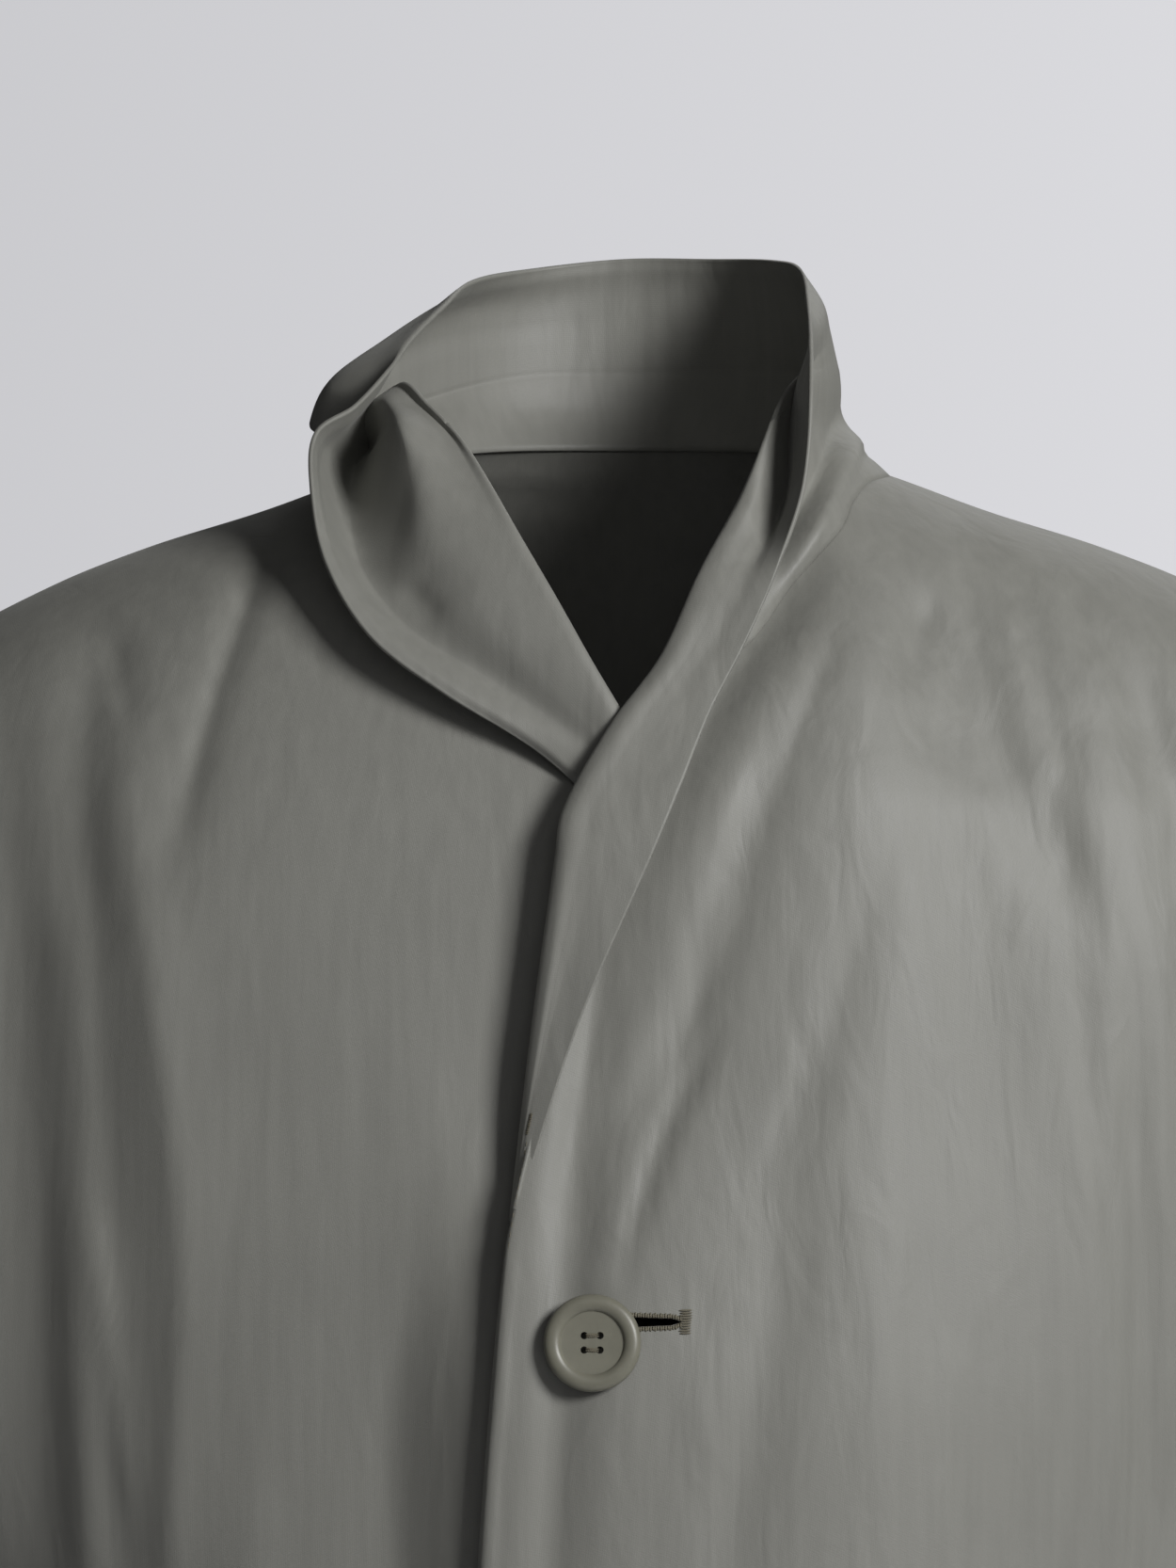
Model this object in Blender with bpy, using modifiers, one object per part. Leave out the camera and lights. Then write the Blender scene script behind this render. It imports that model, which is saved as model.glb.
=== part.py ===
"""A long, wide, button-front coat with a tall soft shawl collar, in its worn form.

The coat hangs open at neck, hem and cuffs, as it does on a standing figure.
+Z is up, the front faces -Y, and the wearer's left side is at +X.
The origin is the middle of the neck base, between the two shoulder and neck points.

Every panel is a single wall of cloth. The body is a stack of level rings, each
a rounded rectangle given by its half width, its front depth and its back depth.
A place on the body is an angle round the ring (0 front, 90 wearer's left, 180 back)
and a height. All tables are in millimetres and degrees.
"""
import math

import bmesh
import bpy
from mathutils import Vector

MM = 0.001

# ---- Cloth and seams -------------------------------------------------------
PANEL_WALL = 1.2          # front, back and sleeve cloth
COLLAR_WALL = 1.4         # two layers of cloth
SEAM_PULL = 0.15          # each edge stays this far from its seam line
SLEEVE_PULL = 0.9         # sleeve edges meet the body at an angle
UNDERARM_PULL = 1.2       # and at a sharper one under the arm
COLLAR_PULL = 1.4         # the collar rises steeply from the neck seam
FOLD_RADIUS = 2.4         # roll line of the lapels

# ---- Lengths ---------------------------------------------------------------
HEM_HEIGHT = -1080
UNDERARM_HEIGHT = -440
SHOULDER_END = -85        # height of the outer end of the shoulder seam
LEFT_NECK_POINT = 2.5     # heights of the inner ends of the shoulder seams
RIGHT_NECK_POINT = 3.0

# ---- Mesh density ----------------------------------------------------------
FRONT_COLUMNS = 12        # columns of a front, along the shoulder seam
BACK_COLUMNS = 8          # columns of the back, along each shoulder seam
STATION_STEPS = 2         # mesh steps between two collar sections
ARMHOLE_STEPS = 22        # rows between shoulder end and underarm
SIDE_STEPS = 8            # rows between underarm and hem
SHORT_SPAN = 14           # panels take one step, not two, along a shorter part of the neck
SLEEVE_STEPS = 10         # rows between armhole and cuff
TOP_EDGE_ROWS = 12        # rows over which the shape of the top edge dies out

# Body rings. SQUARENESS is 2 for an ellipse and more for a squarer ring.
RING_COLUMNS = ("height", "half_width", "front", "back", "squareness")
RINGS = (
    (18, 60, 50, 68, 2.0),
    (10, 76, 54, 74, 2.0),
    (4, 86, 57, 78, 2.0),
    (-1, 100, 60, 82, 2.0),
    (-12, 130, 66, 88, 2.0),
    (-24, 168, 74, 95, 2.05),
    (-37, 201, 82, 103, 2.1),
    (-60, 243, 93, 116, 2.2),
    (-85, 270, 103, 127, 2.3),
    (-120, 286, 115, 140, 2.4),
    (-200, 296, 126, 156, 2.5),
    (-300, 286, 131, 162, 2.5),
    (-370, 260, 133, 160, 2.4),
    (-440, 226, 136, 158, 2.3),
    (-550, 224, 142, 160, 2.2),
    (-700, 246, 151, 166, 2.2),
    (-900, 290, 166, 178, 2.1),
    (-1080, 328, 184, 195, 2.1),
)

# Armhole: how far round from the shoulder line the edge of the body lies.
ARMHOLE_COLUMNS = ("height", "turn")
ARMHOLE = (
    (-85, 0), (-93, 11), (-112, 20), (-150, 27), (-200, 31),
    (-260, 34), (-320, 33), (-370, 28), (-410, 18), (-440, 0),
)

# Front edges: where the open edge of each front lies, from the break down.
EDGE_COLUMNS = ("height", "across")
LEFT_EDGE = (
    (-253, -38.5), (-292, -42.4), (-367, -47.5), (-520, -53), (-760, -57), (-1080, -60),
)
RIGHT_EDGE = ((-182, 44), (-300, 45), (-600, 44), (-1080, 42))

# Collar sections, from the left break round the neck to the right break.
# seam: across, height and face (1 front, -1 back) on the body.
# roll: the inner crest. hollow: the lowest part of the fall. edge: the free edge.
# stand_bow and rise_bow push the cloth out between seam and roll, hollow and edge.
COLLAR_COLUMNS = ("name", "seam", "roll", "hollow", "edge", "stand_bow", "rise_bow")
COLLAR = (
    ("left_break", (-31, -249, 1), (-38.5, -138, -252), (-35.5, -141.5, -251), (-30.5, -142, -250), 0, 0),
    ("left_low", (-22.5, -188, 1), (-31, -137, -188), (-25, -140, -188), (-16.5, -141, -188), 0, 0),
    ("left_strip", (-6.5, -132, 1), (-23.5, -132.5, -132), (-9, -136.5, -132), (8, -136, -132), 0, 0),
    ("left_corner", (1.5, -112, 1), (-21, -129, -117), (-3, -133, -114), (18, -129.5, -108), 0, 0),
    ("left_lapel", (15, -86, 1), (-5, -121, -89), (11.5, -122.5, -87), (28, -119, -83.5), 0, 0),
    ("left_turn", (41, -60, 1), (12, -112.5, -65.5), (28, -109, -64), (40, -111, -60), 0, 0),
    ("left_throat", (61, -34, 1), (26, -101, -35.5), (42, -95, -37), (51, -103.5, -35), -1, -0.5),
    ("left_neck_front", (77, -13, 1), (39.5, -88.5, -11), (54, -80, -11), (60.5, -94, -6), -2.5, -0.5),
    ("left_neck_rise", (85, -3, 1), (55.5, -66, 25.5), (60.5, -62.5, 26.5), (64, -73, 31), -2, 0),
    ("left_neck_point", (90, 2.5, 1), (74.5, -17, 38), (71, -22.5, 48), (63.5, -29, 61), -1.5, 1.5),
    ("left_neck_side", (80, 7, -1), (75.5, 17, 38), (71.5, 14, 56), (62, 7, 76.5), -1, 2),
    ("left_back_side", (62, 11.5, -1), (61, 45, 42), (58, 44, 64), (53, 40, 82), 1, 1),
    ("left_back", (34, 15, -1), (35, 70, 44), (34, 70, 66), (31, 67, 85), 2, 1),
    ("centre_back", (0, 16, -1), (0, 80, 44), (0, 80, 66), (0, 77, 86), 2, 1),
    ("right_back", (-34, 15, -1), (-38, 71, 42), (-37, 72, 62), (-32, 67, 81), 2, 2),
    ("right_back_side", (-62, 11.5, -1), (-72, 46, 32), (-72, 45, 54), (-54, 38, 73), -2, 5),
    ("right_neck_side", (-77, 7.5, -1), (-99, 16, 18), (-100, 14, 34), (-63.5, 5, 61), -8, 8),
    ("right_neck_point", (-89, 3, 1), (-102, -8, 11), (-111, -8, 19), (-74, -22, 47), -6, 11),
    ("right_tip", (-87, -7, 1), (-77, -44.5, 28), (-99.5, -37, 7.5), (-82.5, -39, 37.5), -5, 6),
    ("right_hook", (-79, -13, 1), (-68.5, -54.5, 22.5), (-96.5, -48.5, 3), (-92.5, -56, 21.5), -4.5, 3.5),
    ("right_kink", (-72, -19, 1), (-59, -63, 12), (-92.5, -55.5, -4), (-105, -68, 12), -4, 2),
    ("right_side", (-66, -27, 1), (-50.5, -73, -0.5), (-88.5, -67, -14.5), (-106, -80, -5), -3, 1),
    ("right_fall", (-54, -40, 1), (-37, -87, -24.5), (-77.5, -85.5, -34), (-100.5, -97.5, -32), -1, 0),
    ("right_lapel", (-38, -58, 1), (-24, -98, -45.5), (-62, -99, -55), (-85.5, -110, -57), 0, 0),
    ("right_low", (-22, -79, 1), (-11, -107, -69), (-38.5, -109, -74.5), (-63, -116, -75.5), 0, 0),
    ("right_cross", (-5, -101, 1), (6, -112, -97), (-8, -115.5, -100), (-25, -118, -101), 0, 0),
    ("right_hidden", (23, -140, 1), (32, -115, -136), (24, -118.5, -139), (14, -118.5, -142), 0, 0),
    ("right_break", (37, -176, 1), (45, -117, -180), (41.5, -120.5, -180), (36.5, -121, -180), 0, 0),
)
LEFT_STATIONS = 9         # sections from the left break to the left neck point
BACK_STATIONS = 8         # sections from the left to the right neck point

# Folds on the fronts, in the front view: troughs have a negative depth.
FOLD_COLUMNS = ("name", "start", "end", "bow", "start_width", "end_width", "depth")
LEFT_FOLDS = (
    ("lapel_trough", (60, -30), (6, -132), 6, 8, 10, -7),
    ("shoulder_ridge", (74, -24), (84, -300), -4, 16, 36, 3),
    ("break_trough", (50, -84), (-6, -250), -4, 9, 12, -4),
    ("chest_trough", (98, -40), (114, -104), 3, 10, 12, -2),
    ("arm_trough", (118, -28), (150, -150), 8, 9, 11, -3),
    ("armpit_trough", (205, -106), (208, -400), 0, 18, 24, -8),
    ("sleeve_trough", (176, -70), (190, -150), 3, 10, 12, -2),
    ("panel_trough", (52, -225), (32, -420), 4, 18, 28, -2),
    ("panel_ridge", (93, -300), (97, -760), 3, 24, 44, 6),
    ("hem_trough", (138, -460), (152, -1080), 4, 24, 40, -15),
    ("hem_ridge", (70, -560), (76, -1080), 0, 30, 40, 9),
)
RIGHT_FOLDS = (
    ("neck_trough", (-113, -14), (-150, -135), 4, 8, 11, -4),
    ("arm_trough", (-182, -58), (-182, -160), 4, 10, 12, -3),
    ("armpit_trough", (-212, -100), (-208, -400), 0, 22, 26, -8),
    ("sleeve_ridge", (-186, -240), (-178, -400), 2, 8, 9, 2),
    ("edge_trough", (-40, -226), (-52, -470), 6, 22, 28, -5),
    ("panel_ridge", (-112, -300), (-118, -700), 0, 30, 42, 5),
    ("hem_trough", (-150, -460), (-158, -1080), -4, 24, 40, -15),
    ("hem_ridge", (-80, -560), (-86, -1080), 0, 30, 40, 9),
)
BACK_FOLDS = (
    ("left_blade", (120, -60), (160, -420), -5, 18, 24, -14),
    ("right_blade", (-118, -55), (-162, -420), 5, 18, 24, -15),
    ("centre_trough", (6, -120), (12, -1080), 4, 26, 44, -12),
    ("left_ridge", (64, -90), (76, -1080), -4, 24, 42, 10),
    ("right_ridge", (-58, -100), (-74, -1080), 5, 24, 42, 9),
    ("left_hem", (148, -500), (165, -1080), 3, 26, 44, -16),
    ("right_hem", (-142, -480), (-160, -1080), -3, 26, 44, -15),
)

# Overlap of the two fronts: the left one stands proud, the right one dips.
LAP_RISE = 8
LAP_RISE_LOW = 14         # rise of the left front below the break
LAP_DIP = 8
LAP_BUMP = 6              # extra rise where the right lapel passes under the left

# Cuffs, as level rings round the hanging arm.
CUFF_CENTRE = (338, -22, -660)
CUFF_HALF_WIDTH = 60
CUFF_HALF_DEPTH = 43
SLEEVE_PULL_OUT = 150     # how strongly the sleeve leaves the armhole
SLEEVE_PULL_DOWN = 230    # how strongly it hangs into the cuff
SLEEVE_FOLD_COLUMNS = ("around", "along", "reach_around", "reach_along", "depth")
SLEEVE_FOLDS = (
    (70, 0.42, 30, 0.10, -7),
    (120, 0.60, 34, 0.09, -8),
    (40, 0.74, 34, 0.07, -6),
    (250, 0.50, 34, 0.10, -7),
    (300, 0.68, 30, 0.08, -7),
    (200, 0.80, 40, 0.07, -6),
)

# Buttons, a vertical row inside the left front's edge.
BUTTON_COUNT = 4
BUTTON_TOP = -292.2
BUTTON_PITCH = 150
BUTTON_INSET = 31
BUTTON_RADIUS = 16
BUTTON_RIM = 5.4
BUTTON_THICKNESS = 4.6
BUTTON_DISH = 1.2
BUTTON_HOLE_SPACING = 4.9
BUTTON_HOLE_RADIUS = 1.2
BUTTON_CLEARANCE = 3.4    # cloth surface to the middle of the button

CLOTH_COLOUR = (0.225, 0.220, 0.195)
BUTTON_COLOUR = (0.115, 0.110, 0.085)


# ---- Small maths -----------------------------------------------------------
def smooth_step(value, low, high):
    """0 below low, 1 above high, and an S curve between."""
    t = min(1.0, max(0.0, (value - low) / (high - low)))
    return t * t * (3 - 2 * t)


def read_table(rows, value, column):
    """A column of a table read by its first column, along a curve with no overshoot."""
    keys = [row[0] for row in rows]
    data = [row[column] for row in rows]
    if keys[0] > keys[-1]:
        keys.reverse()
        data.reverse()
    value = min(keys[-1], max(keys[0], value))
    index = max(i for i in range(len(keys) - 1) if keys[i] <= value)
    slopes = [(data[i + 1] - data[i]) / (keys[i + 1] - keys[i]) for i in range(len(keys) - 1)]

    def tangent(i):
        if i == 0:
            return slopes[0]
        if i == len(keys) - 1:
            return slopes[-1]
        before, after = slopes[i - 1], slopes[i]
        return 2 * before * after / (before + after) if before * after > 0 else 0.0

    step = keys[index + 1] - keys[index]
    t = (value - keys[index]) / step
    return ((2 * t ** 3 - 3 * t ** 2 + 1) * data[index]
            + (t ** 3 - 2 * t ** 2 + t) * step * tangent(index)
            + (3 * t ** 2 - 2 * t ** 3) * data[index + 1]
            + (t ** 3 - t ** 2) * step * tangent(index + 1))


def curve_point(points, where):
    """A point on the smooth curve through the points; where counts from 0 in points."""
    last = len(points) - 1
    index = min(last - 1, max(0, int(where)))
    t = where - index
    here, there = points[index], points[index + 1]
    before = points[index - 1] if index > 0 else here * 2 - there
    after = points[index + 2] if index < last - 1 else there * 2 - here
    chord = max(1e-6, (there - here).length)
    lead = chord / max(1e-6, chord + (here - before).length)
    trail = chord / max(1e-6, chord + (after - there).length)
    leave = (there - before) * lead
    arrive = (after - here) * trail
    return (here * (2 * t ** 3 - 3 * t ** 2 + 1) + leave * (t ** 3 - 2 * t ** 2 + t)
            + there * (3 * t ** 2 - 2 * t ** 3) + arrive * (t ** 3 - t ** 2))


# ---- The body's form -------------------------------------------------------
def ring_point(angle, height):
    """The plain body, without folds."""
    half_width = read_table(RINGS, height, 1)
    front = read_table(RINGS, height, 2)
    back = read_table(RINGS, height, 3)
    squareness = read_table(RINGS, height, 4)
    sine = math.sin(math.radians(angle))
    cosine = math.cos(math.radians(angle))
    reach = (abs(sine) ** squareness + abs(cosine) ** squareness) ** (-1 / squareness)
    depth = front if cosine > 0 else back
    return Vector((half_width * reach * sine, -depth * reach * cosine, height))


def ring_angle(across, height, face=1):
    """The angle at which a ring has this place across, on its front or its back."""
    half_width = read_table(RINGS, height, 1)
    squareness = read_table(RINGS, height, 4)
    part = min(1.0, abs(across) / half_width)
    rest = (1 - part ** squareness) ** (1 / squareness)
    angle = math.degrees(math.atan2(part, rest))
    if face < 0:
        angle = 180 - angle
    return angle if across >= 0 else -angle % 360 if face < 0 else -angle


def fold_depth(folds, across, height):
    """How far the folds of one panel lift the cloth at a place of its front view."""
    total = 0.0
    for _, start, end, bow, start_width, end_width, depth in folds:
        run = Vector((end[0] - start[0], end[1] - start[1]))
        offset = Vector((across - start[0], height - start[1]))
        t = offset.dot(run) / run.length_squared
        if not -0.2 < t < 1.2:
            continue
        side = (offset.x * run.y - offset.y * run.x) / run.length
        held = min(1.0, max(0.0, t))
        side -= bow * 4 * held * (1 - held)
        width = start_width + (end_width - start_width) * held
        fade = smooth_step(t, -0.2, 0.25)
        if end[1] > HEM_HEIGHT:
            fade *= 1 - smooth_step(t, 0.75, 1.2)
        total += depth * fade * math.exp(-(side / width) ** 2)
    return total


def seam_fade(angle, height):
    """Folds die out towards the shoulder, armhole and side seams."""
    from_side = abs(90 - min(angle % 360, 360 - angle % 360))
    turn = armhole_turn(height)
    return smooth_step(from_side - turn, 0, 22)


def armhole_turn(height):
    """How far round from the shoulder line the armhole lies at this height."""
    if height > SHOULDER_END or height < UNDERARM_HEIGHT:
        return 0.0
    return read_table(ARMHOLE, height, 1)


def lap_lift(layer, across, height):
    """How the fronts part where one laps over the other."""
    if layer == "left":
        reach = 1 - smooth_step(across, 40, 125)
        top = 1 - smooth_step(height, -85, -25)
        bump = LAP_BUMP * math.exp(-((across + 2) / 38) ** 2 - ((height + 112) / 42) ** 2)
        low = 1 - smooth_step(height, -340, -200)
        return (LAP_RISE + (LAP_RISE_LOW - LAP_RISE) * low) * reach * top + bump
    if layer == "right":
        reach = smooth_step(across, -75, -20)
        top = 1 - smooth_step(height, -120, -60)
        return -LAP_DIP * reach * top
    return 0.0


def body_point(layer, angle, height):
    """The worn surface: the ring, lifted along its normal by folds and overlap."""
    point = ring_point(angle, height)
    step = 0.5
    around = ring_point(angle + step, height) - ring_point(angle - step, height)
    down = ring_point(angle, height - step) - ring_point(angle, height + step)
    normal = down.cross(around).normalized()
    folds = {"left": LEFT_FOLDS, "right": RIGHT_FOLDS, "back": BACK_FOLDS}[layer]
    lift = fold_depth(folds, point.x, height) * seam_fade(angle, height)
    lift += lap_lift(layer, point.x, height)
    return point + normal * lift


# ---- Edges of the panels, as (angle, height) -------------------------------
def neck_seam():
    """The neck seam at each collar section, from the left break to the right one."""
    places = []
    for _, (across, height, face), *_ in COLLAR:
        angle = ring_angle(across, height, face)
        if places and angle < places[-1].x - 180:
            angle += 360
        places.append(Vector((angle, height)))
    places[LEFT_STATIONS].x = 90
    places[LEFT_STATIONS].y = LEFT_NECK_POINT
    places[LEFT_STATIONS + BACK_STATIONS].x = 270
    places[LEFT_STATIONS + BACK_STATIONS].y = RIGHT_NECK_POINT
    return places


def neck_places(first, last):
    """Mesh places on the neck seam between two collar sections."""
    seam = neck_seam()
    way = 1 if last > first else -1
    places = [seam[first].copy()]
    for index in range(first, last, way):
        here = ring_point(seam[index].x, seam[index].y)
        there = ring_point(seam[index + way].x, seam[index + way].y)
        steps = 1 if (there - here).length < SHORT_SPAN else STATION_STEPS
        places += [curve_point(seam, index + way * i / steps) for i in range(1, steps + 1)]
    return places


def armhole_places():
    """Heights and turns of the armhole, closer together where it turns."""
    places = []
    for i in range(ARMHOLE_STEPS + 1):
        t = i / ARMHOLE_STEPS
        eased = 0.55 * t + 0.45 * (1 - math.cos(math.pi * t)) / 2
        height = SHOULDER_END + (UNDERARM_HEIGHT - SHOULDER_END) * eased
        places.append((armhole_turn(height), height))
    places[0] = (0.0, SHOULDER_END)
    places[-1] = (0.0, UNDERARM_HEIGHT)
    return places


def side_heights(top, steps):
    """Heights of the rows between a point on the edge and the hem."""
    return [top + (HEM_HEIGHT - top) * i / steps for i in range(1, steps + 1)]


def side_edge(centre, way):
    """Armhole and side seam, at centre (90 left, 270 right), turned one way."""
    places = [Vector((centre + way * turn, height)) for turn, height in armhole_places()]
    places += [Vector((centre, height)) for height in side_heights(UNDERARM_HEIGHT, SIDE_STEPS)]
    return places


def front_edge(table, neck_rows):
    """The open edge of a front below its break, in the rows that the neck leaves."""
    places = []
    steps = ARMHOLE_STEPS + SIDE_STEPS - (neck_rows - 1)
    for height in side_heights(table[0][0], steps):
        angle = ring_angle(read_table(table, height, 1), height)
        places.append(Vector((angle, height)))
    return places


def shoulder_places(centre, neck_height, steps):
    """The shoulder seam from the neck point to its outer end."""
    places = []
    for i in range(steps + 1):
        t = i / steps
        across = ring_point(90, neck_height).x
        across += (ring_point(90, SHOULDER_END).x - across) * t
        places.append(Vector((centre, shoulder_height(across))))
    places[0].y = neck_height
    places[-1].y = SHOULDER_END
    return places


def shoulder_height(across):
    """The height of the shoulder line at a place across, found by halving."""
    low, high = SHOULDER_END, RINGS[0][0]
    for _ in range(40):
        middle = (low + high) / 2
        if ring_point(90, middle).x > across:
            low = middle
        else:
            high = middle
    return (low + high) / 2


def shift(places, turns):
    """The same places, counted round by whole turns."""
    return [Vector((place.x + 360 * turns, place.y)) for place in places]


def patch_points(layer, top, left, right):
    """Rows of surface points between a panel's two side edges, below its top edge."""
    columns = len(top) - 1
    points = []
    for j, start in enumerate(left):
        hold = 1 - smooth_step(j, 0, TOP_EDGE_ROWS)
        row = []
        for i in range(columns + 1):
            part = i / columns
            place = start.lerp(right[j], part) + (top[i] - top[0].lerp(top[-1], part)) * hold
            row.append(body_point(layer, place.x, place.y))
        points.append(row)
    return points


def pull_edges(points, top=0.0, bottom=0.0, left=0.0, right=0.0):
    """Draw the edges of a sheet of points in from their seam lines."""
    for i in range(len(points[0])):
        points[0][i] = points[0][i] + (points[1][i] - points[0][i]).normalized() * top
        points[-1][i] = points[-1][i] + (points[-2][i] - points[-1][i]).normalized() * bottom
    for row in points:
        row[0] = row[0] + (row[1] - row[0]).normalized() * left
        row[-1] = row[-1] + (row[-2] - row[-1]).normalized() * right
    return points


# ---- Panels ----------------------------------------------------------------
def left_front_points():
    top = shoulder_places(90, LEFT_NECK_POINT, FRONT_COLUMNS)
    neck = neck_places(LEFT_STATIONS, 0)
    left = neck + front_edge(LEFT_EDGE, len(neck))
    right = side_edge(90, -1)
    return pull_edges(patch_points("left", top, left, right),
                      top=SEAM_PULL, left=SEAM_PULL, right=SEAM_PULL)


def right_front_points():
    first = LEFT_STATIONS + BACK_STATIONS
    top = shoulder_places(270, RIGHT_NECK_POINT, FRONT_COLUMNS)
    neck = neck_places(first, len(COLLAR) - 1)
    left = neck + shift(front_edge(RIGHT_EDGE, len(neck)), 1)
    right = side_edge(270, 1)
    return pull_edges(patch_points("right", top, left, right),
                      top=SEAM_PULL, left=SEAM_PULL, right=SEAM_PULL)


def back_points():
    left_shoulder = shoulder_places(90, LEFT_NECK_POINT, BACK_COLUMNS)
    left_shoulder.reverse()
    right_shoulder = shoulder_places(270, RIGHT_NECK_POINT, BACK_COLUMNS)
    neck = neck_places(LEFT_STATIONS, LEFT_STATIONS + BACK_STATIONS)
    top = left_shoulder + neck[1:-1] + right_shoulder
    return pull_edges(patch_points("back", top, side_edge(90, 1), side_edge(270, -1)),
                      top=SEAM_PULL, left=SEAM_PULL, right=SEAM_PULL)


def armhole_ring(centre, front_layer, front_way):
    """The armhole as a closed ring: down its front side and up its back side."""
    front = [body_point(front_layer, centre + front_way * turn, height)
             for turn, height in armhole_places()]
    back = [body_point("back", centre - front_way * turn, height)
            for turn, height in armhole_places()]
    return front + back[-2:0:-1]


def sleeve_points(centre, front_layer, front_way):
    """A tube from the armhole ring to the cuff ring, hanging in a smooth curve."""
    ring = armhole_ring(centre, front_layer, front_way)
    count = len(ring)
    side = 1 if centre == 90 else -1
    cuff_centre = Vector((side * CUFF_CENTRE[0], CUFF_CENTRE[1], CUFF_CENTRE[2]))
    middle = sum(ring, Vector()) / count
    hang = (cuff_centre - middle).normalized()
    columns = []
    for k, start in enumerate(ring):
        around = 2 * math.pi * k / count
        end = cuff_centre + Vector((side * CUFF_HALF_WIDTH * math.cos(around),
                                    -CUFF_HALF_DEPTH * math.sin(around), 0))
        top = (1 + math.cos(around)) / 2
        spread = 0.35 + 0.5 * math.cos(around) ** 2
        leave = Vector((side * spread, -0.12 * math.sin(around), -0.8)).normalized()
        along_edge = (ring[(k + 1) % count] - ring[k - 1]).normalized()
        away = (leave - along_edge * leave.dot(along_edge)).normalized()
        start = start + away * (SLEEVE_PULL + UNDERARM_PULL * (1 - top) ** 4)
        column = []
        for j in range(SLEEVE_STEPS + 1):
            t = j / SLEEVE_STEPS
            point = (start * (2 * t ** 3 - 3 * t ** 2 + 1)
                     + leave * SLEEVE_PULL_OUT * (t ** 3 - 2 * t ** 2 + t)
                     + end * (3 * t ** 2 - 2 * t ** 3)
                     + hang * SLEEVE_PULL_DOWN * (t ** 3 - t ** 2))
            core = cuff_centre * t + middle * (1 - t)
            outward = (point - core)
            outward = (outward - hang * outward.dot(hang)).normalized()
            column.append(point + outward * sleeve_fold(math.degrees(around), t))
        columns.append(column)
    return columns


def sleeve_fold(around, along):
    """Soft elbow and hang folds of a sleeve."""
    total = 0.0
    for place, height, reach_around, reach_along, depth in SLEEVE_FOLDS:
        turn = (around - place + 180) % 360 - 180
        slant = along - height - 0.0012 * turn
        total += depth * math.exp(-(turn / reach_around) ** 2 - (slant / reach_along) ** 2)
    return total


def neck_outward(point):
    """Level direction away from the middle of the neck."""
    return Vector((point.x, point.y - 12, 0)).normalized()


def collar_sections():
    """Seven guide points for each collar section, from seam to free edge."""
    seam = neck_seam()
    sections = []
    for index, (_, _, roll, hollow, edge, stand_bow, rise_bow) in enumerate(COLLAR):
        layer = "back"
        if index < LEFT_STATIONS:
            layer = "left"
        if index > LEFT_STATIONS + BACK_STATIONS:
            layer = "right"
        root = body_point(layer, seam[index].x, seam[index].y)
        roll, hollow, edge = Vector(roll), Vector(hollow), Vector(edge)
        stand = (root + roll) / 2
        stand += neck_outward(stand) * stand_bow
        rise = (hollow + edge) / 2
        rise += neck_outward(rise) * rise_bow
        arrive = (roll - stand).normalized()
        leave = (hollow - roll).normalized()
        turned = (1 - arrive.dot(leave)) / 2
        across = hollow - stand
        across -= arrive * across.dot(arrive)
        across = across.normalized() * min(FOLD_RADIUS, 0.45 * across.length) * turned
        radius = min(FOLD_RADIUS, 0.4 * (roll - stand).length, 0.4 * (roll - hollow).length)
        under = roll - arrive * radius - across
        over = roll + leave * radius + across
        sections.append((root, stand, under, roll, over, hollow, rise, edge))
    return sections


COLLAR_STOPS = (0, 0.5, 1, 1.6, 2, 2.5, 3, 3.5, 4, 4.5, 5, 5.5, 6, 6.5, 7)


def collar_points():
    """The collar as columns of points, one for each mesh step round the neck."""
    sections = collar_sections()
    seam = neck_seam()
    rails = [[section[i] for section in sections] for i in range(8)]
    columns = []
    for step in range((len(COLLAR) - 1) * STATION_STEPS + 1):
        where = step / STATION_STEPS
        guides = [curve_point(rail, where) for rail in rails]
        place = curve_point(seam, where)
        if where <= LEFT_STATIONS:
            guides[0] = body_point("left", place.x, place.y)
        elif where >= LEFT_STATIONS + BACK_STATIONS:
            guides[0] = body_point("right", place.x, place.y)
        else:
            guides[0] = body_point("back", place.x, place.y)
        columns.append([curve_point(guides, stop) for stop in COLLAR_STOPS])
    return pull_edges(columns, left=COLLAR_PULL)


# ---- Making objects --------------------------------------------------------
def clear_scene():
    for item in list(bpy.data.objects):
        bpy.data.objects.remove(item, do_unlink=True)


def make_material(name, colour, roughness):
    material = bpy.data.materials.new(name)
    material.use_nodes = True
    shader = material.node_tree.nodes["Principled BSDF"]
    shader.inputs["Base Color"].default_value = (*colour, 1)
    shader.inputs["Roughness"].default_value = roughness
    return material


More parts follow.
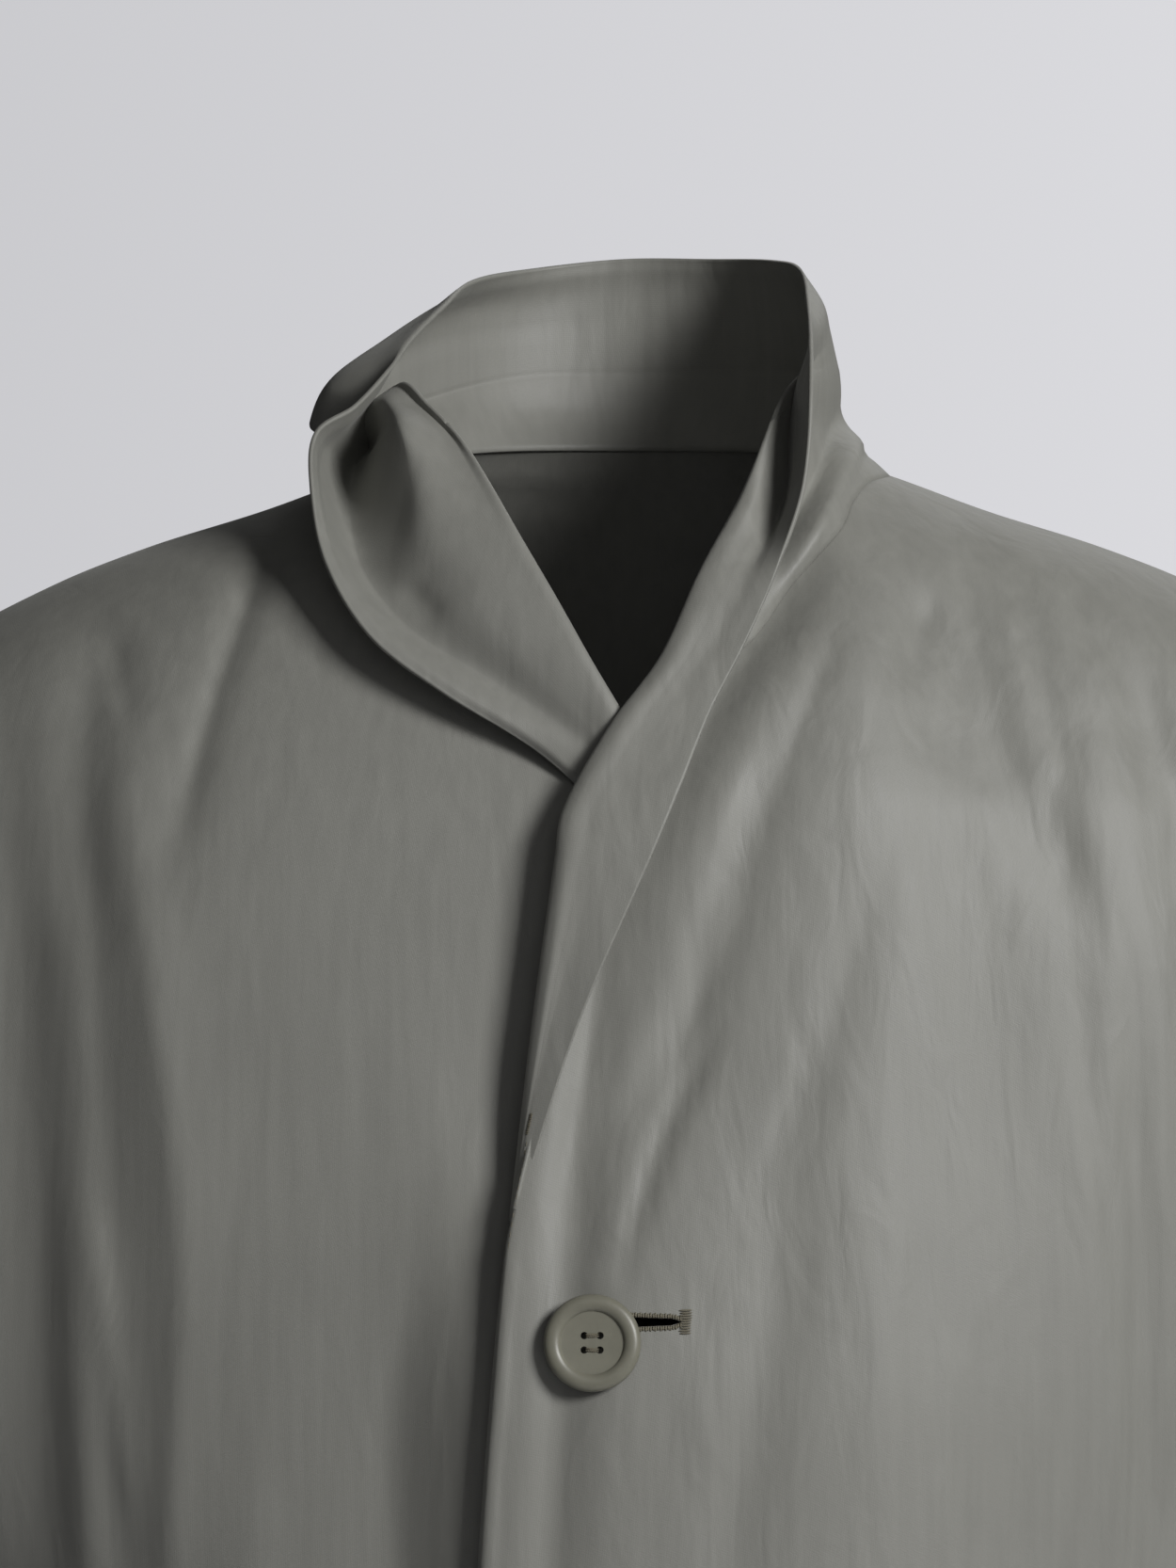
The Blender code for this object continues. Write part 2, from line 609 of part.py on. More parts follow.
def sheet_object(name, points, wall, material, collection, closed=False):
    """A cloth wall: a grid laid on the points, given its thickness."""
    rows = len(points)
    columns = len(points[0])
    mesh = bpy.data.meshes.new(name)
    shape = bmesh.new()
    grid = bmesh.ops.create_grid(shape, x_segments=rows - 1 + closed, y_segments=columns - 1, size=1)
    cells = {}
    for vert in grid["verts"]:
        i = round((vert.co.x + 1) / 2 * (rows - 1 + closed))
        j = round((vert.co.y + 1) / 2 * (columns - 1))
        cells[vert] = (i % rows, j)
    for vert, (i, j) in cells.items():
        vert.co = points[i][j] * MM
    if closed:
        bmesh.ops.remove_doubles(shape, verts=shape.verts, dist=1e-6)
    bmesh.ops.recalc_face_normals(shape, faces=shape.faces)
    shape.to_mesh(mesh)
    shape.free()
    mesh.shade_smooth()
    item = bpy.data.objects.new(name, mesh)
    item.data.materials.append(material)
    collection.objects.link(item)
    solid = item.modifiers.new("wall", "SOLIDIFY")
    solid.thickness = wall * MM
    solid.offset = 0
    return item


def button_mesh(material):
    """A turned button with a raised round rim and a dished middle, with four holes."""
    half = BUTTON_THICKNESS / 2
    inner = BUTTON_RADIUS - BUTTON_RIM
    profile = (
        (0, half - BUTTON_DISH), (inner, half - BUTTON_DISH), (inner + 1.2, half - 0.3),
        (inner + 2.6, half), (BUTTON_RADIUS - 1.0, half - 0.6), (BUTTON_RADIUS, 0.3),
        (BUTTON_RADIUS - 0.4, -0.9), (BUTTON_RADIUS - 2.4, -half), (0, -half),
    )
    shape = bmesh.new()
    verts = [shape.verts.new((x * MM, 0, z * MM)) for x, z in profile]
    edges = [shape.edges.new(pair) for pair in zip(verts, verts[1:])]
    bmesh.ops.spin(shape, geom=verts + edges, axis=(0, 0, 1), cent=(0, 0, 0), steps=24,
                   angle=2 * math.pi, use_merge=True)
    bmesh.ops.remove_doubles(shape, verts=shape.verts, dist=1e-6)
    bmesh.ops.recalc_face_normals(shape, faces=shape.faces)
    mesh = bpy.data.meshes.new("button")
    shape.to_mesh(mesh)
    shape.free()
    mesh.materials.append(material)
    return mesh


def hole_cutter(collection):
    """Four round pins that cut the thread holes."""
    shape = bmesh.new()
    reach = BUTTON_HOLE_SPACING / 2 * MM
    for x in (-reach, reach):
        for y in (-reach, reach):
            pin = bmesh.ops.create_cone(shape, cap_ends=True, segments=8, depth=4 * BUTTON_THICKNESS * MM,
                                        radius1=BUTTON_HOLE_RADIUS * MM, radius2=BUTTON_HOLE_RADIUS * MM)
            bmesh.ops.translate(shape, verts=pin["verts"], vec=(x, y, 0))
    mesh = bpy.data.meshes.new("thread_holes")
    shape.to_mesh(mesh)
    shape.free()
    item = bpy.data.objects.new("thread_holes", mesh)
    item.hide_render = True
    item.display_type = "WIRE"
    collection.objects.link(item)
    return item


def button_place(index):
    """The middle of a button and the direction it faces."""
    height = BUTTON_TOP - BUTTON_PITCH * index
    across = read_table(LEFT_EDGE, height, 1) + BUTTON_INSET
    angle = ring_angle(across, height)
    here = body_point("left", angle, height)
    around = body_point("left", angle + 2, height) - body_point("left", angle - 2, height)
    down = body_point("left", angle, height - 6) - body_point("left", angle, height + 6)
    facing = down.cross(around).normalized()
    return here + facing * BUTTON_CLEARANCE, facing


def make_buttons(material, collection, cutters):
    cutter = hole_cutter(cutters)
    for index in range(BUTTON_COUNT):
        centre, facing = button_place(index)
        item = bpy.data.objects.new(f"button_{index + 1}", button_mesh(material))
        item.location = centre * MM
        item.rotation_euler = facing.to_track_quat("Z", "Y").to_euler()
        collection.objects.link(item)
        bore = item.modifiers.new("thread holes", "BOOLEAN")
        bore.operation = "DIFFERENCE"
        own_cutter = cutter if index == 0 else cutter.copy()
        if index:
            cutters.objects.link(own_cutter)
        own_cutter.location = item.location
        own_cutter.rotation_euler = item.rotation_euler
        bore.object = own_cutter


def main():
    clear_scene()
    coat = bpy.data.collections.new("coat")
    cutters = bpy.data.collections.new("cutters")
    bpy.context.scene.collection.children.link(coat)
    bpy.context.scene.collection.children.link(cutters)
    cloth = make_material("crisp nylon cotton", CLOTH_COLOUR, 0.55)
    plastic = make_material("matt button plastic", BUTTON_COLOUR, 0.42)
    sheet_object("front_left", left_front_points(), PANEL_WALL, cloth, coat)
    sheet_object("front_right", right_front_points(), PANEL_WALL, cloth, coat)
    sheet_object("back", back_points(), PANEL_WALL, cloth, coat)
    sheet_object("sleeve_left", sleeve_points(90, "left", -1), PANEL_WALL, cloth, coat, closed=True)
    sheet_object("sleeve_right", sleeve_points(270, "right", 1), PANEL_WALL, cloth, coat, closed=True)
    sheet_object("collar", collar_points(), COLLAR_WALL, cloth, coat)
    make_buttons(plastic, coat, cutters)


main()
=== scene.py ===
"""The looks of a long, wide, button-front coat with a tall soft collar.

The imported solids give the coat's places. Each cloth piece is made again here, finer,
from the same tables, with the creases, seams and stitches that a solid doesn't need.
Tables are in millimetres and degrees; a place on the body is an angle round it
(0 front, 90 wearer's left, 180 back) and a height.
"""
import math

import bmesh
import bpy
import numpy as np
from mathutils import Matrix, Vector


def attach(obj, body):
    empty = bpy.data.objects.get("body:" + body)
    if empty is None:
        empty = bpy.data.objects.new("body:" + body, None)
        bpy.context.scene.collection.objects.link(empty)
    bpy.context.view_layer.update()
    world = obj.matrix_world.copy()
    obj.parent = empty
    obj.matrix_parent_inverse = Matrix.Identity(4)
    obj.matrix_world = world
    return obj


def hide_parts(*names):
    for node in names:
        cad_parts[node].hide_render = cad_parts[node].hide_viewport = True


bl_info = {
    "name": "Button-front coat",
    "version": (1, 0, 0),
    "blender": (4, 5, 0),
    "location": "3D View > Sidebar > Coat",
    "description": "Makes the cloth, buttons and stitches of a long coat round its packed solids",
    "category": "Add Mesh",
}

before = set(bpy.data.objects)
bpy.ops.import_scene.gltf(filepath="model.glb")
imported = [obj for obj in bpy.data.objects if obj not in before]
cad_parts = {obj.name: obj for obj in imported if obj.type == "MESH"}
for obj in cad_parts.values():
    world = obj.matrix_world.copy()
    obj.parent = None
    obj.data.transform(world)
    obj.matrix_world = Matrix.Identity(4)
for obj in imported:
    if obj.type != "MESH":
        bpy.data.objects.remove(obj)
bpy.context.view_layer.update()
MM = 0.001

# ---- Form, as in the solids ------------------------------------------------
SEAM_OVERLAP = 0.4        # joined pieces run this far past their seam line
FOLD_RADIUS = 2.4         # of the collar's turned edge
PLANE_WAY = (0, -1, 0.2)  # the way plane_bow pushes the lapel's face
HEM_HEIGHT = -1080
UNDERARM_HEIGHT = -440
SHOULDER_END = -85
LEFT_NECK_POINT = 2.5
RIGHT_NECK_POINT = 3.0

RINGS = (  # height, half_width, front, back, squareness
    (18, 60, 50, 68, 2.0),
    (10, 76, 54, 74, 2.0),
    (4, 86, 57, 78, 2.0),
    (-1, 100, 60, 82, 2.0),
    (-12, 130, 66, 88, 2.0),
    (-24, 168, 74, 95, 2.05),
    (-37, 201, 82, 103, 2.1),
    (-60, 243, 93, 116, 2.2),
    (-85, 270, 103, 127, 2.3),
    (-120, 286, 115, 140, 2.4),
    (-200, 296, 126, 156, 2.5),
    (-300, 286, 131, 162, 2.5),
    (-370, 260, 133, 160, 2.4),
    (-440, 226, 136, 158, 2.3),
    (-550, 224, 142, 160, 2.2),
    (-700, 246, 151, 166, 2.2),
    (-900, 290, 166, 178, 2.1),
    (-1080, 328, 184, 195, 2.1),
)
ARMHOLE = (  # height, turn
    (-85, 0), (-93, 11), (-112, 20), (-150, 27), (-200, 31),
    (-260, 34), (-320, 33), (-370, 28), (-410, 18), (-440, 0),
)
LEFT_EDGE = (  # height, across
    (-253, -38.5), (-292, -42.4), (-367, -47.5), (-520, -53), (-760, -57), (-1080, -60),
)
RIGHT_EDGE = ((-182, 44), (-300, 45), (-600, 44), (-1080, 42))
COLLAR = (  # name, seam, roll, hollow, edge, stand_bow, plane_bow, rise_bow
    ("left_break", (-37, -249, 1), (-38.5, -138, -252), (-38.2, -141.5, -252), (-37.4, -142, -252),
     0, 0, 0),
    ("left_low", (-22.5, -188, 1), (-31, -137, -188), (-25, -139.5, -188), (-16.5, -141.5, -188), 0, 0, 0),
    ("left_strip", (-6.5, -132, 1), (-23.3, -133, -132), (-9.0, -136, -132), (7.9, -137, -132), 0, 0, 0),
    ("left_corner", (1.5, -112, 1), (-20.8, -129.5, -117), (-3, -131.5, -114), (18, -131, -108), 0, 0, 0),
    ("left_lapel", (15.0, -86, 1), (-5.2, -121, -89), (12.0, -122, -87), (27.9, -121, -83.5), 0, 0, 0),
    ("left_turn", (41.0, -60, 1), (11.9, -112, -65.5), (27.0, -112.5, -64), (40.0, -112, -60), 0, 0, 0),
    ("left_throat", (61.0, -34, 1), (25.9, -99, -35.5), (41.5, -100.5, -37), (51.0, -103, -35), -3, 0, 0),
    ("left_neck_front", (77.0, -13, 1), (39.6, -84, -11), (54.5, -74, -11), (60.3, -96, -6), -7, 0, -2),
    ("left_neck_rise", (85.0, -3, 1), (55.0, -63, 26), (58.5, -54, 27), (63.3, -82, 31), -7, 0, -2),
    ("left_neck_point", (90.0, 2.5, 1), (73.5, -18, 38), (70.5, -24, 48), (63.6, -32, 61), -4, 0, 2),
    ("left_neck_side", (80.0, 7, -1), (74.5, 17, 38), (71.0, 14, 56), (62.2, 7, 76), -2, 0, 2),
    ("left_back_side", (62.0, 11.5, -1), (61.0, 45, 42), (58.0, 44, 64), (53.0, 40, 82), 1, 0, 1),
    ("left_back", (34.0, 15, -1), (35.0, 70, 44), (34.0, 70, 66), (31.0, 67, 85), 2, 0, 1),
    ("centre_back", (0.0, 16, -1), (0.0, 80, 44), (0.0, 80, 66), (0.0, 77, 86), 2, 0, 1),
    ("right_back", (-34.0, 15, -1), (-38.0, 71, 42), (-37.0, 72, 62), (-32.0, 67, 81), 2, 0, 2),
    ("right_back_side", (-62.0, 11.5, -1), (-72.0, 46, 32), (-72.0, 45, 54), (-54.0, 38, 73), -2, 0, 5),
    ("right_neck_side", (-77.0, 7.5, -1), (-99.0, 16, 18), (-100.0, 14, 34), (-63.5, 5, 61), -8, 0, 8),
    ("right_neck_point", (-89.0, 3.0, 1), (-102.0, -8, 11), (-111.0, -8, 19), (-74.2, -22, 47), -6, 0, 11),
    ("right_tip", (-87.0, -7, 1), (-77.5, -45, 31), (-91.0, -24, 14), (-80.0, -38, 37), -5, 13, 5),
    ("right_hook", (-79.0, -13, 1), (-68.3, -55, 23), (-90.0, -22, 9), (-92.5, -56, 21.5), -6, 22, 6),
    ("right_kink", (-72.0, -19, 1), (-58.5, -65, 12.5), (-94.0, -27, 3), (-105.0, -68, 12), -6, 26, 6),
    ("right_side", (-66.0, -27, 1), (-50.0, -76, -0.5), (-95.0, -51, -13), (-106.0, -79, -5), -5, 15, 5),
    ("right_fall", (-54.0, -40, 1), (-36.5, -92, -24.3), (-89.0, -77, -36), (-100.8, -93, -32), -3, 6, 2),
    ("right_lapel", (-38.0, -58, 1), (-24.2, -102, -45.5), (-72.0, -95, -56), (-86.0, -106, -57), 0, 3, 0),
    ("right_low", (-22.0, -79, 1), (-11.1, -111, -69), (-42.0, -106, -75), (-63.0, -112.5, -75.5), 0, 1, 0),
    ("right_cross", (-5.0, -101, 1), (6.0, -116, -97), (-8.0, -116, -100), (-25.0, -115, -101), 0, 0, 0),
    ("right_hidden", (23, -140, 1), (32, -115, -136), (24, -118.5, -139), (14, -118.5, -142), 0, 0, 0),
    ("right_break", (37.0, -176, 1), (45.0, -117, -180), (41.5, -120.5, -180), (36.5, -121, -180), 0, 0, 0),
)
LEFT_STATIONS = 9
BACK_STATIONS = 8

# Large folds of the solids: name, start, end, bow, start_width, end_width, depth.
LEFT_FOLDS = (
    ("lapel_trough", (60, -30), (6, -132), 6, 10, 13, -5),
    ("shoulder_ridge", (74, -24), (84, -300), -4, 16, 36, 3),
    ("break_trough", (50, -84), (-6, -250), -4, 12, 14, -0.5),
    ("chest_trough", (98, -40), (114, -104), 3, 10, 12, -2),
    ("arm_trough", (118, -28), (150, -150), 8, 9, 11, -3),
    ("armpit_trough", (205, -106), (208, -400), 0, 18, 24, -8),
    ("sleeve_trough", (176, -70), (190, -150), 3, 10, 12, -2),
    ("panel_trough", (52, -225), (32, -420), 4, 18, 28, -2),
    ("panel_ridge", (93, -300), (97, -760), 3, 24, 44, 6),
    ("hem_trough", (138, -460), (152, -1080), 4, 24, 40, -15),
    ("hem_ridge", (70, -560), (76, -1080), 0, 30, 40, 9),
)
RIGHT_FOLDS = (
    ("neck_trough", (-119, -14), (-157, -135), 4, 8, 11, -2.5),
    ("arm_trough", (-182, -58), (-182, -160), 4, 10, 12, -3),
    ("armpit_trough", (-212, -100), (-208, -400), 0, 22, 26, -8),
    ("sleeve_ridge", (-186, -240), (-178, -400), 2, 8, 9, 2),
    ("edge_trough", (-40, -226), (-52, -470), 6, 22, 28, -2),
    ("panel_ridge", (-112, -300), (-118, -700), 0, 30, 42, 5),
    ("hem_trough", (-150, -460), (-158, -1080), -4, 24, 40, -15),
    ("hem_ridge", (-80, -560), (-86, -1080), 0, 30, 40, 9),
)
BACK_FOLDS = (
    ("left_blade", (120, -60), (160, -420), -5, 18, 24, -14),
    ("right_blade", (-118, -55), (-162, -420), 5, 18, 24, -15),
    ("centre_trough", (6, -120), (12, -1080), 4, 26, 44, -12),
    ("left_ridge", (64, -90), (76, -1080), -4, 24, 42, 10),
    ("right_ridge", (-58, -100), (-74, -1080), 5, 24, 42, 9),
    ("left_hem", (148, -500), (165, -1080), 3, 26, 44, -16),
    ("right_hem", (-142, -480), (-160, -1080), -3, 26, 44, -15),
)
LAP_RISE = 8               # of the left front over the right one
LAP_ENDS = (40, 125)       # where it dies away across the left front
LAP_TOP = (-85, -25)       # and at its top
LAP_RISE_LOW = 20          # further rise below the break, highest at LAP_CREST across
LAP_CREST = 5
LAP_SPREAD = 130
LAP_LOW_ENDS = (120, 200)
LAP_LOW_TOP = (-330, -170)
LAP_HEM_SHARE = 0.6        # of that rise left in the skirt
LAP_HEM_FADE = (-700, -450)
LAP_BUMP = 4               # swell where the lapels cross: its middle and its reach
LAP_BUMP_PLACE = (-2, -112)
LAP_BUMP_REACH = (38, 42)
LAP_DIP = 8                # of the right front under the left one
LAP_DIP_ENDS = (-75, -20)
LAP_DIP_TOP = (-290, -130)
EDGE_ROLL = 0.8            # soft roll of the left front's open edge
EDGE_INSET = 2.6           # of its crest from the edge
EDGE_WIDTH = 1.7
EDGE_DROP = 1.3            # fall of the edge itself, as a share of the roll
EDGE_DROP_ENDS = (-0.5, 1.8)
EDGE_ROLL_TOP = (-290, -250)

CUFF_CENTRE = (338, -22, -660)
CUFF_HALF_WIDTH = 60
CUFF_HALF_DEPTH = 43
SLEEVE_PULL_OUT = 150
SLEEVE_PULL_DOWN = 230
SLEEVE_FOLDS = (  # around, along, reach_around, reach_along, depth
    (70, 0.42, 30, 0.10, -7),
    (120, 0.60, 34, 0.09, -8),
    (40, 0.74, 34, 0.07, -6),
    (250, 0.50, 34, 0.10, -7),
    (300, 0.68, 30, 0.08, -7),
    (200, 0.80, 40, 0.07, -6),
)

BUTTON_COUNT = 4
BUTTON_TOP = -292.2
BUTTON_PITCH = 150
BUTTON_INSET = 31
BUTTON_CLEARANCE = 3.4

# ---- Creases too fine for the solids ---------------------------------------
# name, path of (across, height) down the coat, near_width, far_width, depth, sharpness.
# Near is the wearer's right of the path. Sharpness 2 is soft, 1 is a knife edge.
LEFT_CREASES = (
    ("collar_trough", ((70, -22), (60, -42), (46, -62), (34, -78), (20, -104), (8, -126)), 7, 9, -2.4, 2),
    ("chest_streak", ((58, -78), (50, -94), (45, -118), (37, -147), (28, -171), (12, -213), (-4, -247)),
     5, 8, -1.7, 1.7),
    ("strip_gully", ((22, -84), (4, -130), (-8, -165), (-14, -206), (-22, -250), (-26, -290)),
     6, 12, -3.8, 1.8),
    ("break_pleat", ((34, -184), (22, -206), (12, -227), (5, -246), (1, -260), (-1, -270), (0, -282)),
     3.6, 2.2, -2.5, 1.4),
    ("lapel_pleat", ((30, -150), (20, -180), (2, -214), (-12, -238)), 6, 8, -1.6, 1.8),
    ("shoulder_dent", ((100, -34), (107, -56), (112, -70), (114, -90)), 4, 5, -1.5, 1.8),
    ("arm_crease", ((112, -20), (127, -35), (136, -48), (138, -60), (142, -78), (147, -98), (151, -132)),
     5, 8, -1.8, 1.5),
    ("dimple_upper", ((150, -38), (158, -52), (160, -68)), 5, 6, -1.3, 2),
    ("dimple_lower", ((162, -52), (170, -70), (171, -84)), 5, 6, -1.2, 2),
    ("sleeve_head", ((172, -60), (180, -84), (187, -108), (192, -140)), 5, 7, -1.8, 1.8),
    ("arm_pleat", ((142, -105), (146, -124), (150, -156), (153, -200), (161, -250), (166, -294),
                   (172, -368), (178, -480)), 3, 7, -1.5, 1.3),
    ("outer_streak", ((172, -150), (171, -220), (176, -320), (180, -420)), 6, 7, -3.0, 1.8),
    ("low_streak", ((58, -222), (52, -246), (48, -286), (43, -312), (34, -350), (28, -420)),
     8, 12, -1.6, 2),
    ("mid_streak", ((94, -215), (95, -260), (94, -300), (92, -345), (90, -420)), 7, 10, -1.0, 2),
    ("fan_upper", ((76, -46), (68, -66), (58, -92), (47, -120), (40, -140)), 4, 6, -1.3, 1.5),
    ("fan_lower", ((47, -96), (38, -122), (28, -150), (16, -176)), 3, 6, -1.5, 1.4),
    ("fan_outer", ((88, -122), (76, -160), (62, -200), (46, -238), (30, -262)), 6, 9, -1.4, 1.8),
    ("throat_short", ((104, -42), (97, -62), (91, -80)), 5, 7, -1.4, 1.7),
    ("arm_short", ((140, -100), (148, -128), (152, -150)), 4, 6, -1.3, 1.5),
    ("arm_outer", ((168, -74), (176, -98), (180, -122)), 5, 7, -1.4, 1.7),
    ("edge_gutter", ((-8, -196), (-16, -250), (-21, -300), (-24, -360), (-26, -440)), 8, 9, -3.0, 2),
    ("hem_streak", ((84, -330), (85, -420), (92, -620), (100, -860)), 12, 18, -4.0, 2),
    ("edge_streak", ((-20, -360), (-16, -480), (-20, -700), (-24, -1080)), 10, 20, -5.0, 2),
    ("skirt_line", ((128, -480), (134, -700), (146, -1080)), 8, 16, -4.5, 1.7),
    ("skirt_soft", ((34, -560), (30, -760), (38, -1080)), 12, 24, -5.5, 2),
    ("side_line", ((196, -560), (206, -760), (220, -1080)), 9, 18, -6.0, 1.8),
)
RIGHT_CREASES = (
    ("neck_crease", ((-114, -8), (-124, -26), (-130, -40), (-135, -57), (-141, -78), (-149, -112),
                     (-156, -140)), 3.5, 6, -2.0, 1.4),
    ("neck_soft", ((-128, -20), (-136, -50), (-146, -84), (-158, -130)), 9, 12, 1.4, 2),
    ("sleeve_crest", ((-170, -88), (-168, -108), (-163, -146), (-157, -188), (-150, -240), (-148, -290),
                      (-152, -370), (-158, -470)), 9, 16, 3.4, 1.3),
    ("sleeve_gully", ((-184, -92), (-181, -130), (-177, -190), (-172, -260), (-172, -340), (-174, -430)),
     7, 9, -1.6, 1.8),
    ("shoulder_crease", ((-178, -52), (-173, -72), (-168, -92)), 5, 7, -1.5, 1.6),
    ("arm_line", ((-184, -240), (-178, -268), (-172, -310), (-165, -370)), 4, 7, 2.0, 1.4),
    ("edge_swell", ((-32, -196), (-38, -260), (-41, -320), (-44, -390), (-48, -620)), 27, 40, 23, 2),
    ("edge_hollow", ((-62, -240), (-74, -290), (-78, -330), (-74, -380), (-66, -440)), 7, 14, -1.6, 1.8),
    ("low_streak", ((-110, -300), (-114, -420), (-112, -560)), 9, 14, -1.6, 2),
    ("hem_streak", ((-104, -560), (-112, -800), (-122, -1080)), 12, 22, -5.5, 2),
    ("skirt_line", ((-60, -480), (-54, -700), (-50, -1080)), 10, 18, -5.0, 1.8),
    ("side_line", ((-190, -560), (-204, -760), (-222, -1080)), 18, 9, -6.0, 1.8),
)
BACK_CREASES = (
    ("left_shoulder", ((96, -30), (112, -90), (122, -170), (128, -280)), 6, 10, -4.0, 1.7),
    ("right_shoulder", ((-92, -28), (-110, -100), (-124, -200), (-132, -300)), 10, 6, -4.4, 1.7),
    ("left_pull", ((150, -70), (160, -130), (176, -220), (182, -330)), 7, 10, -4.5, 1.6),
    ("right_pull", ((-148, -66), (-164, -140), (-178, -240), (-184, -340)), 10, 7, -4.5, 1.6),
    ("yoke_dent", ((-36, -26), (-24, -70), (-20, -130)), 9, 9, -3.0, 2),
    ("left_line", ((40, -110), (46, -260), (40, -430), (44, -640)), 7, 12, -3.6, 1.8),
    ("right_line", ((-44, -140), (-50, -300), (-46, -520), (-52, -760)), 12, 7, -3.8, 1.8),
    ("left_skirt", ((104, -420), (112, -640), (128, -860), (134, -1080)), 9, 18, -6.0, 1.8),
    ("right_skirt", ((-108, -460), (-118, -700), (-126, -900), (-134, -1080)), 18, 9, -6.0, 1.8),
    ("centre_line", ((-12, -520), (-16, -760), (-10, -1080)), 10, 16, -4.0, 2),
    ("left_side_line", ((206, -620), (222, -820), (238, -1080)), 9, 16, -6.0, 1.8),
    ("right_side_line", ((-206, -600), (-220, -800), (-240, -1080)), 16, 9, -6.0, 1.8),
)
# name, first section, last section, then as above. A positive depth stands proud.
STAND_CREASES = (
    ("layer_crease", 4, 11, ((80, 34), (75.5, 23), (71.5, 9.5), (66.5, -2), (59, -15), (50, -32),
                             (42, -46)), 4.2, 3.0, -3.6, 1.3),
    ("layer_swell", 4, 11, ((86, 24), (82, 12), (77, 1), (71, -10), (63, -24), (52, -42)), 5, 5, 3.6, 2),
    ("foot_crease", 6, 11, ((92, 14), (84, 8), (80, 0), (72, -14)), 3, 3, -2.2, 1.4),
    ("foot_swell", 4, 11, ((92, 4), (84, -3), (76, -14), (66, -28), (54, -46), (42, -60)), 4.5, 5, 3.6, 2),
)
FALL_CREASES = (
    ("tip_dent", 18, 23, ((-76, 20), (-77, 2), (-79, -18), (-84, -34)), 8, 6, -2.0, 2),
    ("low_dent", 21, 26, ((-76, -38), (-68, -48), (-60, -52)), 5, 5, -1.4, 2),
    ("low_dent_two", 21, 26, ((-70, -30), (-62, -40), (-52, -46)), 6, 8, -0.7, 2),
)
LIP_REACH = 0.5           # of the last stretch of the collar, where its edge curls out
LIP_CURL = 1.6

# ---- Sewing ----------------------------------------------------------------
STITCH_PITCH = 3.1         # of the topstitching
STITCH_LENGTH = 2.3
STITCH_WIDTH = 0.55
STITCH_FLATNESS = 0.42     # height of a stitch over the cloth, as a share of its width
TOPSTITCH_LIFT = 0.12
HEM_DEPTH = 22
CUFF_DEPTH = 26
HOLE_LEFT = -12            # ends of a buttonhole, across from the button's middle
HOLE_RIGHT = 29.5
HOLE_RISE = 6.4            # of the buttonhole above that middle
HOLE_GAPE = 5.2            # height of the open slit at its left end
HOLE_GAPE_END = 2.0
SLIT_REACH = 14            # of the cut in front of the button's middle and behind it
BAR_REACH = 1.7            # length of the stitches along the slit
BAR_PITCH = 0.82
TACK_WIDTH = 4.2
TACK_HEIGHT = 7.4
TACK_OVERLAP = 1.0         # of the tack over the end of the slit
BORE_ACROSS = 2.6          # of the button's four holes from its middle
BORE_UP = 2.35
BORE_RADIUS = 1.2
THREAD_SPAN = 4.7          # length of the thread over a pair of those holes
THREAD_WIDTH = 0.62
THREAD_GAP = 0.42          # between the three threads over a pair
THREAD_LIFT = 1.25         # of the middle one from the button's middle
SHANK_RADIUS = 1.6         # of the thread wound behind a button
SHANK_ENDS = (-5.2, -2.0)  # where it starts and stops behind that middle
SHANK_PITCH = 0.55
SHANK_STITCH = (2.1, 0.6)  # length and width of its stitches
LAPEL_TACK = ((-31.6, -217.0), (-33.0, -223.5))
LAPEL_END = -248           # the stitches lie on the lapel above this height
LAPEL_STITCHES = ((-33.2, -226.0), (-34.6, -234.0), (-36.4, -243.0), (-38.0, -252.0), (-39.4, -262.0))

BUTTON_PROFILE = (  # share of the radius, share of half the thickness
    (0, 0.34), (0.61, 0.31), (0.640, 0.34), (0.658, 0.55), (0.70, 0.84), (0.78, 1.0),
    (0.87, 0.98), (0.94, 0.78), (0.985, 0.42), (1.0, 0.02), (0.985, -0.35),
    (0.93, -0.75), (0.84, -1.0), (0, -1.0),
)

# ---- Mesh density ----------------------------------------------------------
FRONT_COLUMNS = 96
BACK_COLUMNS = 32         # along each shoulder seam
NECK_SPLIT = 6            # mesh rows for each row of the solids, from shoulder to underarm
SKIRT_SPLIT = 12          # and from there to the hem
ARMHOLE_STEPS = 22
SIDE_STEPS = 8
TOP_EDGE_ROWS = 12
STATION_STEPS = 2
SHORT_SPAN = 14
SLEEVE_ROWS = 90
COLLAR_SPLIT = 12         # mesh columns for each collar section
COLLAR_ROWS = 88
HEM_MARKS = 700

# ---- Camera and light ------------------------------------------------------
CAMERA_PLACE = (-0.013, -1.95, -0.108)
CAMERA_LENS = 125.8
LAMPS = (  # name, place, aim, size, power
    ("window", (1.88, -2.20, 1.02), (0.0, 0.0, -0.15), 0.95, 95),
    ("room", (0.0, -2.9, 1.1), (0.0, 0.0, -0.2), 2.0, 5),
    ("behind", (0.9, 2.0, 1.5), (0.0, 0.0, -0.4), 1.8, 12),
)
WORLD_LIGHT = 0.05
FLOOR_LEVEL = -1.45
FLOOR_RADIUS = 9


